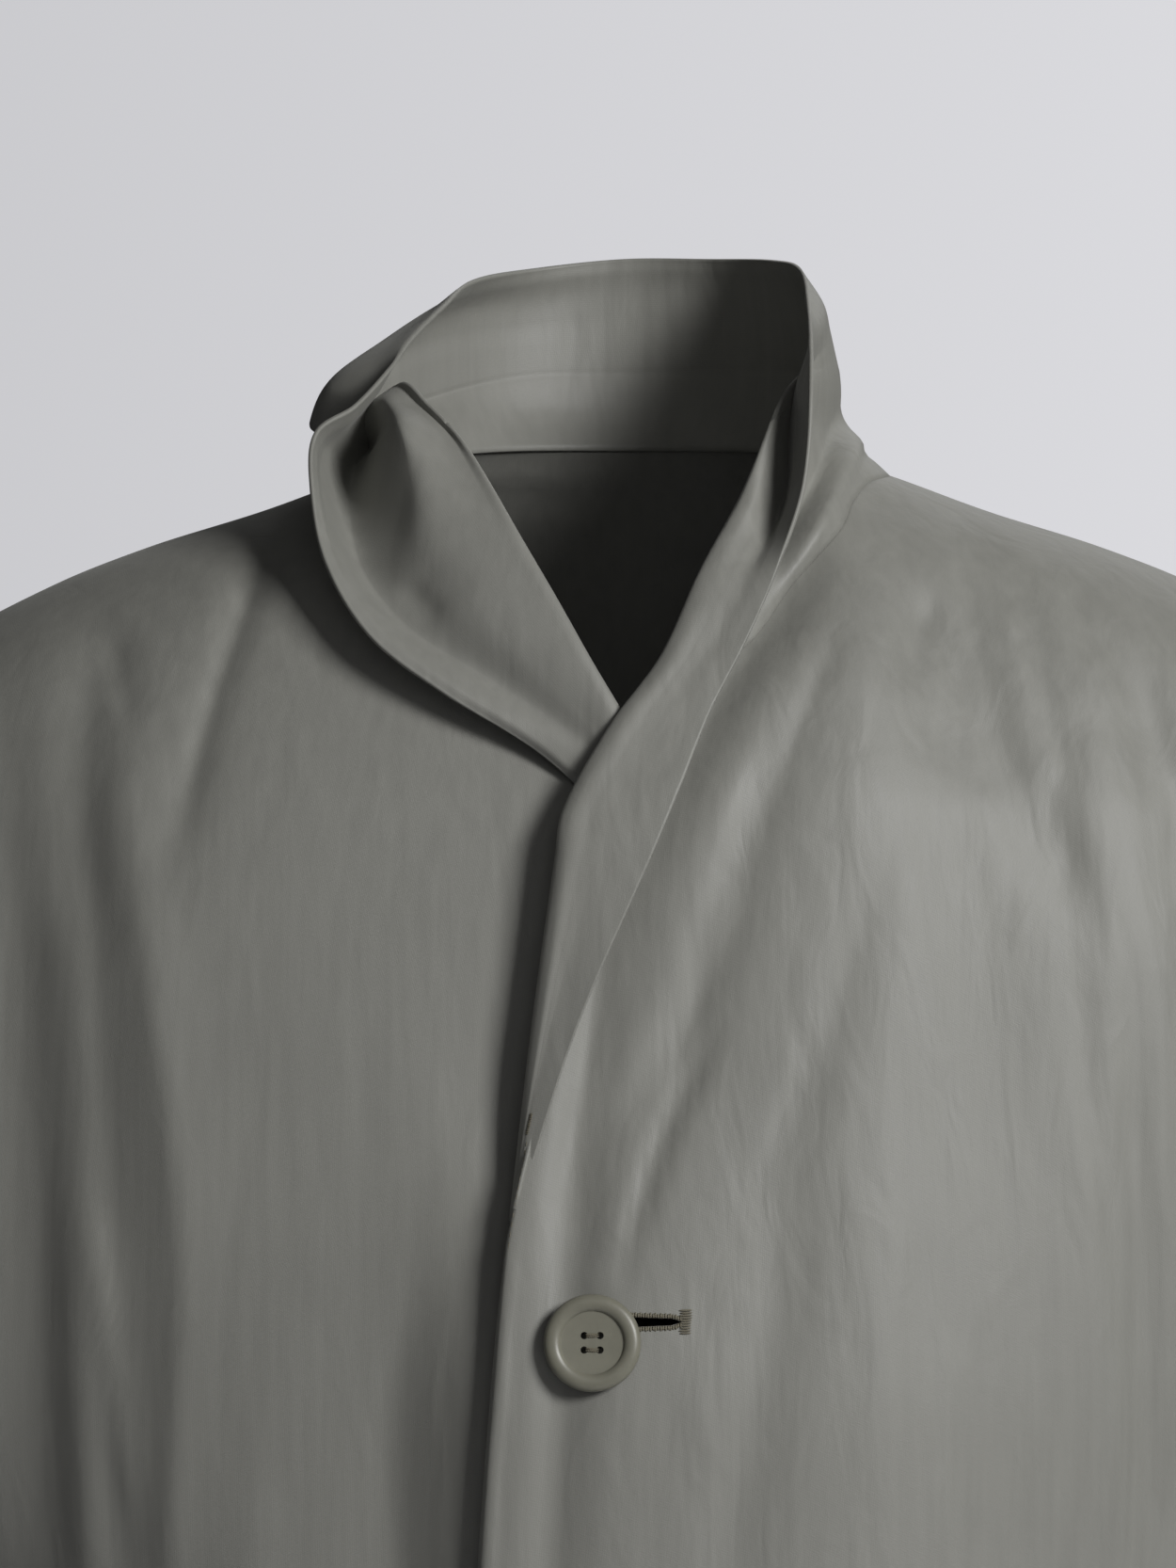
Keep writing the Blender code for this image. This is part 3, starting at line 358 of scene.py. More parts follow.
# ---- Sizes and colours a user would change ---------------------------------
class CoatSizes(bpy.types.PropertyGroup):
    """Sizes of the cloth and its sewing."""

    panel_wall: bpy.props.FloatProperty(
        name="Cloth thickness", description="Thickness of fronts, back and sleeves",
        default=0.0010, min=0.0003, max=0.003, unit="LENGTH", subtype="DISTANCE")
    collar_wall: bpy.props.FloatProperty(
        name="Collar thickness", description="Thickness of the doubled collar",
        default=0.0014, min=0.0003, max=0.004, unit="LENGTH", subtype="DISTANCE")
    button_radius: bpy.props.FloatProperty(
        name="Button radius", description="Radius of the four-hole buttons",
        default=0.016, min=0.008, max=0.02, unit="LENGTH", subtype="DISTANCE")
    button_thickness: bpy.props.FloatProperty(
        name="Button thickness", description="Thickness of the buttons at their rim",
        default=0.0046, min=0.002, max=0.006, unit="LENGTH", subtype="DISTANCE")


class CoatColours(bpy.types.PropertyGroup):
    """Colours of the coat and of its surroundings."""

    cloth: bpy.props.FloatVectorProperty(
        name="Cloth", description="Mean colour of the cloth",
        default=(0.205, 0.204, 0.184), min=0, max=1, size=3, subtype="COLOR")
    button: bpy.props.FloatVectorProperty(
        name="Button", description="Colour of the buttons",
        default=(0.160, 0.156, 0.122), min=0, max=1, size=3, subtype="COLOR")
    thread: bpy.props.FloatVectorProperty(
        name="Thread", description="Colour of the sewing thread",
        default=(0.135, 0.122, 0.086), min=0, max=1, size=3, subtype="COLOR")
    backdrop: bpy.props.FloatVectorProperty(
        name="Backdrop", description="Colour of the floor and the space behind",
        default=(0.62, 0.62, 0.645), min=0, max=1, size=3, subtype="COLOR")


# ---- Small maths -----------------------------------------------------------
def smooth_step(value, low, high):
    """0 below low, 1 above high, and an S curve between."""
    t = np.clip((value - low) / (high - low), 0, 1)
    return t * t * (3 - 2 * t)


def read_table(rows, value, column):
    """A column of a table read by its first column, along a curve with no overshoot."""
    keys = np.array([row[0] for row in rows], float)
    data = np.array([row[column] for row in rows], float)
    if keys[0] > keys[-1]:
        keys, data = keys[::-1], data[::-1]
    value = np.clip(value, keys[0], keys[-1])
    index = np.clip(np.searchsorted(keys, value, side="right") - 1, 0, len(keys) - 2)
    slopes = np.diff(data) / np.diff(keys)
    before, after = slopes[:-1], slopes[1:]
    even = np.where(before * after > 0, before + after, 1)
    inner = np.where(before * after > 0, 2 * before * after / even, 0)
    tangents = np.concatenate((slopes[:1], inner, slopes[-1:]))
    step = keys[index + 1] - keys[index]
    t = (value - keys[index]) / step
    return ((2 * t ** 3 - 3 * t ** 2 + 1) * data[index]
            + (t ** 3 - 2 * t ** 2 + t) * step * tangents[index]
            + (3 * t ** 2 - 2 * t ** 3) * data[index + 1]
            + (t ** 3 - t ** 2) * step * tangents[index + 1])


def along_curve(points, where):
    """Points of the smooth curve through rows of points; where counts from 0 in rows."""
    points = np.asarray(points, float)
    where = np.asarray(where, float)
    index = np.clip(where.astype(int), 0, len(points) - 2)
    t = (where - index).reshape(-1, *[1] * (points.ndim - 1))
    padded = np.concatenate((2 * points[:1] - points[1:2], points, 2 * points[-1:] - points[-2:-1]))
    before, here, there, after = (padded[index + k] for k in range(4))

    def span(a, b):
        return np.maximum(np.linalg.norm(b - a, axis=-1, keepdims=True), 1e-6)

    chord = span(here, there)
    leave = (there - before) * chord / (chord + span(before, here))
    arrive = (after - here) * chord / (chord + span(there, after))
    return (here * (2 * t ** 3 - 3 * t ** 2 + 1) + leave * (t ** 3 - 2 * t ** 2 + t)
            + there * (3 * t ** 2 - 2 * t ** 3) + arrive * (t ** 3 - t ** 2))


def unit(vectors):
    """Vectors of the same direction, one long."""
    return vectors / np.maximum(np.linalg.norm(vectors, axis=-1, keepdims=True), 1e-9)


def blend(a, b, t):
    """A value between two others, a at 0 and b at 1."""
    return a + (b - a) * t


# ---- The body's form -------------------------------------------------------
def ring_point(angle, height):
    """The plain body, without folds."""
    half_width, front, back, squareness = (read_table(RINGS, height, c) for c in (1, 2, 3, 4))
    sine, cosine = np.sin(np.radians(angle)), np.cos(np.radians(angle))
    reach = (np.abs(sine) ** squareness + np.abs(cosine) ** squareness) ** (-1 / squareness)
    depth = np.where(cosine > 0, front, back)
    return np.stack((half_width * reach * sine, -depth * reach * cosine, height + 0 * sine), -1)


def ring_angle(across, height, face=1):
    """The angle at which a ring has this place across, on its front or its back."""
    half_width = float(read_table(RINGS, height, 1))
    squareness = float(read_table(RINGS, height, 4))
    part = min(1.0, abs(across) / half_width)
    rest = (1 - part ** squareness) ** (1 / squareness)
    angle = math.degrees(math.atan2(part, rest))
    if face < 0:
        return 180 - angle if across >= 0 else 180 + angle
    return angle if across >= 0 else -angle


def armhole_turn(height):
    """How far round from the shoulder line the armhole lies at this height."""
    inside = (height <= SHOULDER_END) & (height >= UNDERARM_HEIGHT)
    return np.where(inside, read_table(ARMHOLE, height, 1), 0.0)


def fold_frame(start, end, bow, across, height):
    """How far along a fold, and how far beside it, places of the front view lie."""
    run = np.array(end, float) - start
    length = np.hypot(*run)
    x, z = across - start[0], height - start[1]
    along = (x * run[0] + z * run[1]) / length ** 2
    held = np.clip(along, 0, 1)
    beside = (x * run[1] - z * run[0]) / length - bow * 4 * held * (1 - held)
    return along, held, beside


def fold_fade(along, end):
    """A fold grows from its start and, unless it runs to the hem, dies at its end."""
    fade = smooth_step(along, -0.2, 0.25)
    if end[1] > HEM_HEIGHT:
        fade = fade * (1 - smooth_step(along, 0.75, 1.2))
    return fade


def fold_depth(folds, across, height):
    """How far the large folds of one panel lift the cloth."""
    total = 0.0
    for _, start, end, bow, start_width, end_width, depth in folds:
        along, held, beside = fold_frame(start, end, bow, across, height)
        width = blend(start_width, end_width, held)
        total = total + depth * fold_fade(along, end) * np.exp(-(beside / width) ** 2)
    return total


def beside_path(path, across, height):
    """How far beside a smooth path places of the front view lie, and how far along it."""
    marks = np.linspace(0, len(path) - 1, (len(path) - 1) * 6 + 1)
    line = along_curve(np.array(path, float), marks)
    lengths = np.linalg.norm(np.diff(line, axis=0), axis=1)
    passed = np.concatenate(([0], np.cumsum(lengths)))
    best = np.full(across.shape, np.inf)
    beside, along = np.zeros(across.shape), np.zeros(across.shape)
    for start, end, length, before in zip(line, line[1:], lengths, passed):
        run = (end - start) / length
        x, z = across - start[0], height - start[1]
        part = np.clip(x * run[0] + z * run[1], 0, length)
        gap = np.hypot(x - run[0] * part, z - run[1] * part)
        nearer = gap < best
        best = np.where(nearer, gap, best)
        beside = np.where(nearer, np.copysign(gap, z * run[0] - x * run[1]), beside)
        along = np.where(nearer, (before + part) / passed[-1], along)
    return beside, along


def crease_depth(creases, across, height):
    """How far the fine creases of one sheet lift the cloth."""
    total = np.zeros(across.shape)
    for *_, path, near_width, far_width, depth, sharpness in creases:
        reach = 3 * max(near_width, far_width)
        low, high = np.min(path, 0) - reach, np.max(path, 0) + reach
        near = (across > low[0]) & (across < high[0]) & (height > low[1]) & (height < high[1])
        beside, along = beside_path(path, across[near], height[near])
        width = np.where(beside < 0, near_width, far_width)
        fade = smooth_step(along, 0, 0.3)
        if path[-1][1] > HEM_HEIGHT:
            fade = fade * (1 - smooth_step(along, 0.65, 1))
        total[near] += depth * fade * np.exp(-(np.abs(beside) / width) ** sharpness)
    return total


def lap_lift(layer, across, height):
    """How the fronts part where one laps over the other."""
    if layer == "left":
        upper = (1 - smooth_step(across, *LAP_ENDS)) * (1 - smooth_step(height, *LAP_TOP))
        x, z = LAP_BUMP_PLACE
        reach_x, reach_z = LAP_BUMP_REACH
        bump = np.exp(-((across - x) / reach_x) ** 2 - ((height - z) / reach_z) ** 2)
        low = (1 - smooth_step(height, *LAP_LOW_TOP)) * (1 - smooth_step(across, *LAP_LOW_ENDS))
        low = low * (LAP_HEM_SHARE + (1 - LAP_HEM_SHARE) * smooth_step(height, *LAP_HEM_FADE))
        low = low * np.exp(-((across - LAP_CREST) / LAP_SPREAD) ** 2)
        beside = across - read_table(LEFT_EDGE, height, 1)
        rolled = np.exp(-((beside - EDGE_INSET) / EDGE_WIDTH) ** 2)
        rolled = rolled - EDGE_DROP * (1 - smooth_step(beside, *EDGE_DROP_ENDS))
        rolled = rolled * (1 - smooth_step(height, *EDGE_ROLL_TOP))
        return LAP_RISE * upper + LAP_RISE_LOW * low + LAP_BUMP * bump + EDGE_ROLL * rolled
    if layer == "right":
        return (-LAP_DIP * smooth_step(across, *LAP_DIP_ENDS)
                * (1 - smooth_step(height, *LAP_DIP_TOP)))
    return 0.0


FOLDS = {"left": LEFT_FOLDS, "right": RIGHT_FOLDS, "back": BACK_FOLDS}
CREASES = {"left": LEFT_CREASES, "right": RIGHT_CREASES, "back": BACK_CREASES}


def body_frame(layer, angle, height, creased=True):
    """The worn surface and its outward direction."""
    angle, height = np.asarray(angle, float), np.asarray(height, float)
    point = ring_point(angle, height)
    step = 0.5
    around = ring_point(angle + step, height) - ring_point(angle - step, height)
    down = ring_point(angle, height - step) - ring_point(angle, height + step)
    normal = unit(np.cross(down, around))
    across = point[..., 0]
    from_side = np.abs(90 - np.minimum(angle % 360, 360 - angle % 360))
    fade = smooth_step(from_side - armhole_turn(height), 0, 22)
    lift = fold_depth(FOLDS[layer], across, height) * fade + lap_lift(layer, across, height)
    if creased:
        near_seam = smooth_step(from_side - armhole_turn(height), 0, 8)
        lift = lift + crease_depth(CREASES[layer], across, height) * near_seam
    return point + normal * lift[..., None], normal


def body_point(layer, angle, height):
    """A place on the worn surface."""
    return body_frame(layer, angle, height)[0]


# ---- Edges of the panels, as rows of (angle, height) -----------------------
def neck_seam():
    """The neck seam at each collar section, from the left break to the right one."""
    places = []
    for _, (across, height, face), *_ in COLLAR:
        angle = ring_angle(across, height, face)
        if places and angle < places[-1][0] - 180:
            angle += 360
        places.append([angle, height])
    places[LEFT_STATIONS] = [90, LEFT_NECK_POINT]
    places[LEFT_STATIONS + BACK_STATIONS] = [270, RIGHT_NECK_POINT]
    return np.array(places, float)


def neck_stops(first, last):
    """Where along the neck seam the rows of a panel start, counted in sections."""
    seam = neck_seam()
    points = ring_point(seam[:, 0], seam[:, 1])
    way = 1 if last > first else -1
    stops = [first]
    for index in range(first, last, way):
        short = np.linalg.norm(points[index + way] - points[index]) < SHORT_SPAN
        steps = 1 if short else STATION_STEPS
        stops += [index + way * i / steps for i in range(1, steps + 1)]
    return np.array(stops, float)


def split(values, steps, count):
    """Values between neighbours, steps to each of the first count spans, then more."""
    rest = (len(values) - 1 - count) * SKIRT_SPLIT
    where = np.concatenate((
        np.arange(count * steps) / steps, count + np.arange(rest + 1) / SKIRT_SPLIT))
    return np.interp(where, np.arange(len(values)), values), where


def armhole_heights():
    """Levels of the armhole's rows, closer together at its two ends."""
    t = np.arange(ARMHOLE_STEPS + 1) / ARMHOLE_STEPS
    eased = 0.55 * t + 0.45 * (1 - np.cos(np.pi * t)) / 2
    return SHOULDER_END + (UNDERARM_HEIGHT - SHOULDER_END) * eased


def side_edge(centre, way):
    """Armhole and side seam, at centre (90 left, 270 right), turned one way."""
    skirt = np.linspace(UNDERARM_HEIGHT, HEM_HEIGHT, SIDE_STEPS + 1)[1:]
    heights, _ = split(np.concatenate((armhole_heights(), skirt)), NECK_SPLIT, ARMHOLE_STEPS)
    return np.stack((centre + way * armhole_turn(heights), heights), -1)


def front_edge(table, first, last, turns=0):
    """Neck seam, then the open edge below the break, in as many rows as the side has."""
    stops = neck_stops(first, last)
    rows = ARMHOLE_STEPS + SIDE_STEPS + 1
    below = np.linspace(table[0][0], HEM_HEIGHT, rows - len(stops) + 1)[1:]
    marks = np.concatenate((stops, last + np.sign(last - first) * np.arange(1, len(below) + 1)))
    fine, where = split(marks, NECK_SPLIT, ARMHOLE_STEPS)
    neck = along_curve(neck_seam(), np.clip(fine, min(first, last), max(first, last)))
    open_rows = np.concatenate(([neck[-1, 1]], below))
    heights = np.interp(where, np.arange(len(stops) - 1, rows), open_rows)
    acrosses = read_table(table, heights, 1)
    open_edge = np.array([
        [ring_angle(float(x), z) + 360 * turns, z] for x, z in zip(acrosses, heights)])
    return np.where((where <= len(stops) - 1)[:, None], neck, open_edge)


def shoulder_seam(centre, neck_height, steps):
    """The shoulder seam from the neck point to its outer end."""
    heights = np.linspace(RINGS[0][0], SHOULDER_END, 600)
    widths = ring_point(90, heights)[:, 0]
    inner = float(ring_point(90, neck_height)[0])
    across = np.linspace(inner, widths[-1], steps + 1)
    level = np.interp(across, widths, heights)
    level[0] = neck_height
    return np.stack((np.full(steps + 1, float(centre)), level), -1)


def patch(layer, top, left, right, crowd=1.0):
    """Surface points between a panel's side edges and below its top edge.

    A crowd above 1 draws the columns towards the left edge.
    """
    part = (np.linspace(0, 1, len(top)) ** crowd)[None, :, None]
    rows = np.arange(len(left)) / NECK_SPLIT
    hold = (1 - smooth_step(rows, 0, TOP_EDGE_ROWS))[:, None, None]
    straight = blend(top[0], top[-1], part[0])
    places = blend(left[:, None], right[:, None], part) + (top - straight)[None] * hold
    return body_point(layer, places[..., 0], places[..., 1])


def overlap_seams(points, top=0, left=0, right=0):
    """Run the sewn edges of a sheet of points past their seam lines."""
    points[0] += unit(points[0] - points[1]) * top * SEAM_OVERLAP
    points[:, 0] += unit(points[:, 0] - points[:, 1]) * left * SEAM_OVERLAP
    points[:, -1] += unit(points[:, -1] - points[:, -2]) * right * SEAM_OVERLAP
    return points


# ---- Panels ----------------------------------------------------------------
def left_front_points():
    """The left front, from its neck and open edge to the side seam."""
    top = shoulder_seam(90, LEFT_NECK_POINT, FRONT_COLUMNS)
    edge = front_edge(LEFT_EDGE, LEFT_STATIONS, 0)
    points = patch("left", top, edge, side_edge(90, -1), crowd=1.3)
    return overlap_seams(points, top=1, left=1, right=1)


def right_front_points():
    """The right front, whose open edge lies under the left one."""
    top = shoulder_seam(270, RIGHT_NECK_POINT, FRONT_COLUMNS)
    edge = front_edge(RIGHT_EDGE, LEFT_STATIONS + BACK_STATIONS, len(COLLAR) - 1, turns=1)
    points = patch("right", top, edge, side_edge(270, 1), crowd=1.15)
    return overlap_seams(points, top=1, left=1, right=1)


def back_points():
    """The back, from shoulder to shoulder below the neck seam."""
    stops = np.linspace(LEFT_STATIONS, LEFT_STATIONS + BACK_STATIONS, BACK_STATIONS * 7 + 1)
    top = np.concatenate((
        shoulder_seam(90, LEFT_NECK_POINT, BACK_COLUMNS)[::-1],
        along_curve(neck_seam(), stops)[1:-1],
        shoulder_seam(270, RIGHT_NECK_POINT, BACK_COLUMNS)))
    points = patch("back", top, side_edge(90, 1), side_edge(270, -1))
    return overlap_seams(points, top=1, left=1, right=1)


def armhole_ring(centre, front_layer, front_way):
    """The armhole as a closed ring: down its front side and up its back side."""
    marks = np.arange(ARMHOLE_STEPS * 4 + 1) / 4
    heights = np.interp(marks, np.arange(ARMHOLE_STEPS + 1), armhole_heights())
    turns = armhole_turn(heights)
    front = body_point(front_layer, centre + front_way * turns, heights)
    back = body_point("back", centre - front_way * turns, heights)
    return np.concatenate((front, back[-2:0:-1]))


def sleeve_points(centre, front_layer, front_way):
    """A tube from the armhole ring to the cuff ring, hanging in a smooth curve."""
    ring = armhole_ring(centre, front_layer, front_way)
    count = len(ring)
    side = 1 if centre == 90 else -1
    cuff = np.array((side * CUFF_CENTRE[0], CUFF_CENTRE[1], CUFF_CENTRE[2]), float)
    middle = ring.mean(0)
    hang = unit(cuff - middle)
    around = 2 * np.pi * np.arange(count) / count
    flat = 0 * around
    end = cuff + np.stack((
        side * CUFF_HALF_WIDTH * np.cos(around), -CUFF_HALF_DEPTH * np.sin(around), flat), -1)
    spread = 0.35 + 0.5 * np.cos(around) ** 2
    leave = unit(np.stack((side * spread, -0.12 * np.sin(around), flat - 0.8), -1))
    seam = unit(np.roll(ring, -1, 0) - np.roll(ring, 1, 0))
    away = unit(leave - seam * (leave * seam).sum(-1, keepdims=True))
    start = ring - away * SEAM_OVERLAP
    t = np.linspace(0, 1, SLEEVE_ROWS + 1)[None, :, None]
    points = (start[:, None] * (2 * t ** 3 - 3 * t ** 2 + 1)
              + leave[:, None] * SLEEVE_PULL_OUT * (t ** 3 - 2 * t ** 2 + t)
              + end[:, None] * (3 * t ** 2 - 2 * t ** 3)
              + hang * SLEEVE_PULL_DOWN * (t ** 3 - t ** 2))
    outward = points - blend(middle, cuff, t)
    outward = unit(outward - hang * (outward @ hang)[..., None])
    turn = np.degrees(around)[:, None]
    return points + outward * sleeve_fold(turn, t[..., 0])[..., None]


def sleeve_fold(around, along):
    """Soft elbow and hang folds of a sleeve."""
    total = 0.0
    for place, height, reach_around, reach_along, depth in SLEEVE_FOLDS:
        turn = (around - place + 180) % 360 - 180
        slant = along - height - 0.0012 * turn
        total = total + depth * np.exp(-(turn / reach_around) ** 2 - (slant / reach_along) ** 2)
    return total


def collar_sections():
    """Nine guide points for each collar section, from seam to free edge."""
    seam = neck_seam()
    sections = []
    for index, (_, _, roll, hollow, edge, stand_bow, plane_bow, rise_bow) in enumerate(COLLAR):
        root = body_point(neck_layer(index), seam[index, 0], seam[index, 1])
        roll, hollow, edge = (np.array(p, float) for p in (roll, hollow, edge))
        stand = bow_out((root + roll) / 2, stand_bow)
        rise = bow_out((hollow + edge) / 2, rise_bow)
        arrive = unit(roll - stand)
        leave = unit(hollow - roll)
        turned = (1 - arrive @ leave) / 2
        across = hollow - stand
        across = across - arrive * (across @ arrive)
        across = unit(across) * min(FOLD_RADIUS, 0.45 * np.linalg.norm(across)) * turned
        radius = min(
            FOLD_RADIUS, 0.4 * np.linalg.norm(roll - stand), 0.4 * np.linalg.norm(roll - hollow))
        under = roll - arrive * radius - across
        over = roll + leave * radius + across
        plane = blend(over, hollow, 0.5) + np.array(PLANE_WAY) * plane_bow
        sections.append((root, stand, under, roll, over, plane, hollow, rise, edge))
    return np.array(sections)


def bow_out(point, bow):
    """Push a point level, away from the middle of the neck."""
    return point + unit(np.array((point[0], point[1] - 12, 0))) * bow


def neck_layer(station):
    """The panel that the collar is sewn to at a section."""
    if station <= LEFT_STATIONS:
        return "left"
    return "right" if station >= LEFT_STATIONS + BACK_STATIONS else "back"


def collar_points():
    """The collar as rows of points, one row for each mesh step round the neck."""
    sections = collar_sections()
    where = np.linspace(0, len(COLLAR) - 1, (len(COLLAR) - 1) * COLLAR_SPLIT + 1)
    guides = np.stack([along_curve(sections[:, k], where) for k in range(sections.shape[1])])
    places = along_curve(neck_seam(), where)
    for index, station in enumerate(where):
        guides[0, index] = body_point(neck_layer(station), *places[index])
    stops = np.linspace(0, 8, COLLAR_ROWS + 1)
    points = along_curve(guides, stops).transpose(1, 0, 2)
    points += sheet_normals(points) * collar_lift(points, where[:, None], stops[None])[..., None]
    return overlap_seams(points, left=3)


def sheet_normals(points):
    """The side of a sheet of points that faces the neck on the stand."""
    along, across = np.gradient(points, axis=0), np.gradient(points, axis=1)
    return unit(np.cross(across, along))


def collar_lift(points, station, stop):
    """The collar's own creases and the curl of its free edge."""
    across, height = points[..., 0], points[..., 2]
    total = np.zeros(across.shape)
    stand = smooth_step(stop, 0, 0.3) * (1 - smooth_step(stop, 1.7, 2.6))
    fall = smooth_step(stop, 3.4, 4.4)
    for creases, part, side in ((STAND_CREASES, stand, -1), (FALL_CREASES, fall, 1)):
        for crease in creases:
            _, first, last = crease[:3]
            ends = smooth_step(station, first, first + 1) * (1 - smooth_step(station, last - 1, last))
            total += side * part * ends * crease_depth([crease], across, height)
    curl = smooth_step(stop, 8 - LIP_REACH, 8) * smooth_step(station, 9, 16)
    return total - LIP_CURL * curl


# ---- Making meshes ---------------------------------------------------------
def finish_mesh(shape, name):
    """The mesh of a finished shape, which is then freed."""
    mesh = bpy.data.meshes.new(name)
    shape.to_mesh(mesh)
    shape.free()
    return mesh


def new_item(name, mesh):
    """An object of this mesh, put into the scene."""
    item = bpy.data.objects.new(name, mesh)
    bpy.context.collection.objects.link(item)
    return item


def cut_places(points):
    """How far along and across the cut cloth each point lies, in metres."""
    down = np.linalg.norm(np.diff(points, axis=0), axis=-1)
    side = np.linalg.norm(np.diff(points, axis=1), axis=-1)
    down = np.concatenate((np.zeros((1, points.shape[1])), np.cumsum(down, 0)))
    side = np.concatenate((np.zeros((points.shape[0], 1)), np.cumsum(side, 1)), 1)
    side = side - side.mean(1, keepdims=True)
    return np.stack((side, down), -1) * MM


def cloth_sheet(name, points, wall, material, closed=False):
    """A cloth wall: a grid laid on the points, given its thickness."""
    rows, columns = points.shape[0] + closed, points.shape[1]
    if closed:
        points = np.concatenate((points, points[:1]))
    shape = bmesh.new()
    bmesh.ops.create_grid(shape, x_segments=rows - 1, y_segments=columns - 1, size=1)
    mesh = bpy.data.meshes.new(name)
    shape.to_mesh(mesh)
    flat = np.empty(len(mesh.vertices) * 3)
    mesh.vertices.foreach_get("co", flat)
    flat = flat.reshape(-1, 3)
    i = np.rint((flat[:, 0] + 1) / 2 * (rows - 1)).astype(int)
    j = np.rint((flat[:, 1] + 1) / 2 * (columns - 1)).astype(int)
    mesh.vertices.foreach_set("co", (points[i, j] * MM).ravel())
    corner = np.empty(len(mesh.loops), int)
    mesh.loops.foreach_get("vertex_index", corner)
    uv = mesh.uv_layers.new(name="cut")
    uv.data.foreach_set("uv", cut_places(points)[i, j][corner].ravel())
    shape.clear()
    shape.from_mesh(mesh)
    if closed:
        bmesh.ops.remove_doubles(shape, verts=shape.verts, dist=1e-6)
    bmesh.ops.recalc_face_normals(shape, faces=shape.faces)
    shape.to_mesh(mesh)
    shape.free()
    mesh.shade_smooth()
    mesh.materials.append(material)
    item = new_item(name, mesh)
    solid = item.modifiers.new("wall", "SOLIDIFY")
    solid.thickness = wall
    solid.offset = 0
    return item


def carry(item, node):
    """The piece rides on the coat and stands for its solid."""
    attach(item, "root")
    if node:
        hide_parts(node)
    return item


# ---- Materials -------------------------------------------------------------
def new_material(name):
    """A material, its node tree and its main shader."""
    material = bpy.data.materials.new(name)
    material.use_nodes = True
    tree = material.node_tree
    return material, tree, tree.nodes["Principled BSDF"]


def add_node(tree, kind, **values):
    """A node with its properties and unlinked inputs set."""
    node = tree.nodes.new(kind)
    for key, value in values.items():
        if key in node.inputs:
            node.inputs[key].default_value = value
        else:
            setattr(node, key, value)
    return node


def placed_texture(tree, kind, places, **values):
    """A texture read from a set of coordinates."""
    node = add_node(tree, kind, **values)
    tree.links.new(places, node.inputs["Vector"])
    return node.outputs["Fac"]


def noise(tree, places, **values):
    """Soft cloudy noise."""
    return placed_texture(tree, "ShaderNodeTexNoise", places, **values)


def wave(tree, places, **values):
    """Even bands, as threads make them."""
    return placed_texture(tree, "ShaderNodeTexWave", places, **values)


def stretch(tree, places, scale, tilt=0):
    """Coordinates scaled along each axis and tilted sideways by some degrees."""
    node = add_node(tree, "ShaderNodeMapping", Scale=scale, Rotation=(0, math.radians(tilt), 0))
    tree.links.new(places, node.inputs["Vector"])
    return node.outputs["Vector"]


def combine(tree, operation, first, second):
    """Two values joined by a sum, a product and so on."""
    node = add_node(tree, "ShaderNodeMath", operation=operation)
    tree.links.new(first, node.inputs[0])
    tree.links.new(second, node.inputs[1])
    return node.outputs[0]


def spread(tree, value, low, high, to_low, to_high):
    """A value's range laid onto another range."""
    node = add_node(tree, "ShaderNodeMapRange")
    for name, number in (("From Min", low), ("From Max", high), ("To Min", to_low), ("To Max", to_high)):
        node.inputs[name].default_value = number
    tree.links.new(value, node.inputs["Value"])
    return node.outputs["Result"]


def two_tone(tree, value, colour, dark, light, start=0.0, end=1.0):
    """A ramp from a darker to a lighter tone of a colour."""
    node = add_node(tree, "ShaderNodeValToRGB")
    for stop, place, tone in zip(node.color_ramp.elements, (start, end), (dark, light)):
        stop.position = place
        stop.color = (*[part * tone for part in colour], 1)
    tree.links.new(value, node.inputs["Fac"])
    return node.outputs["Color"]


def bump(tree, height, strength, distance, under=None):
    """A bump, laid over the bumps under it."""
    node = add_node(tree, "ShaderNodeBump", Strength=strength, Distance=distance)
    tree.links.new(height, node.inputs["Height"])
    if under:
        tree.links.new(under, node.inputs["Normal"])
    return node.outputs["Normal"]


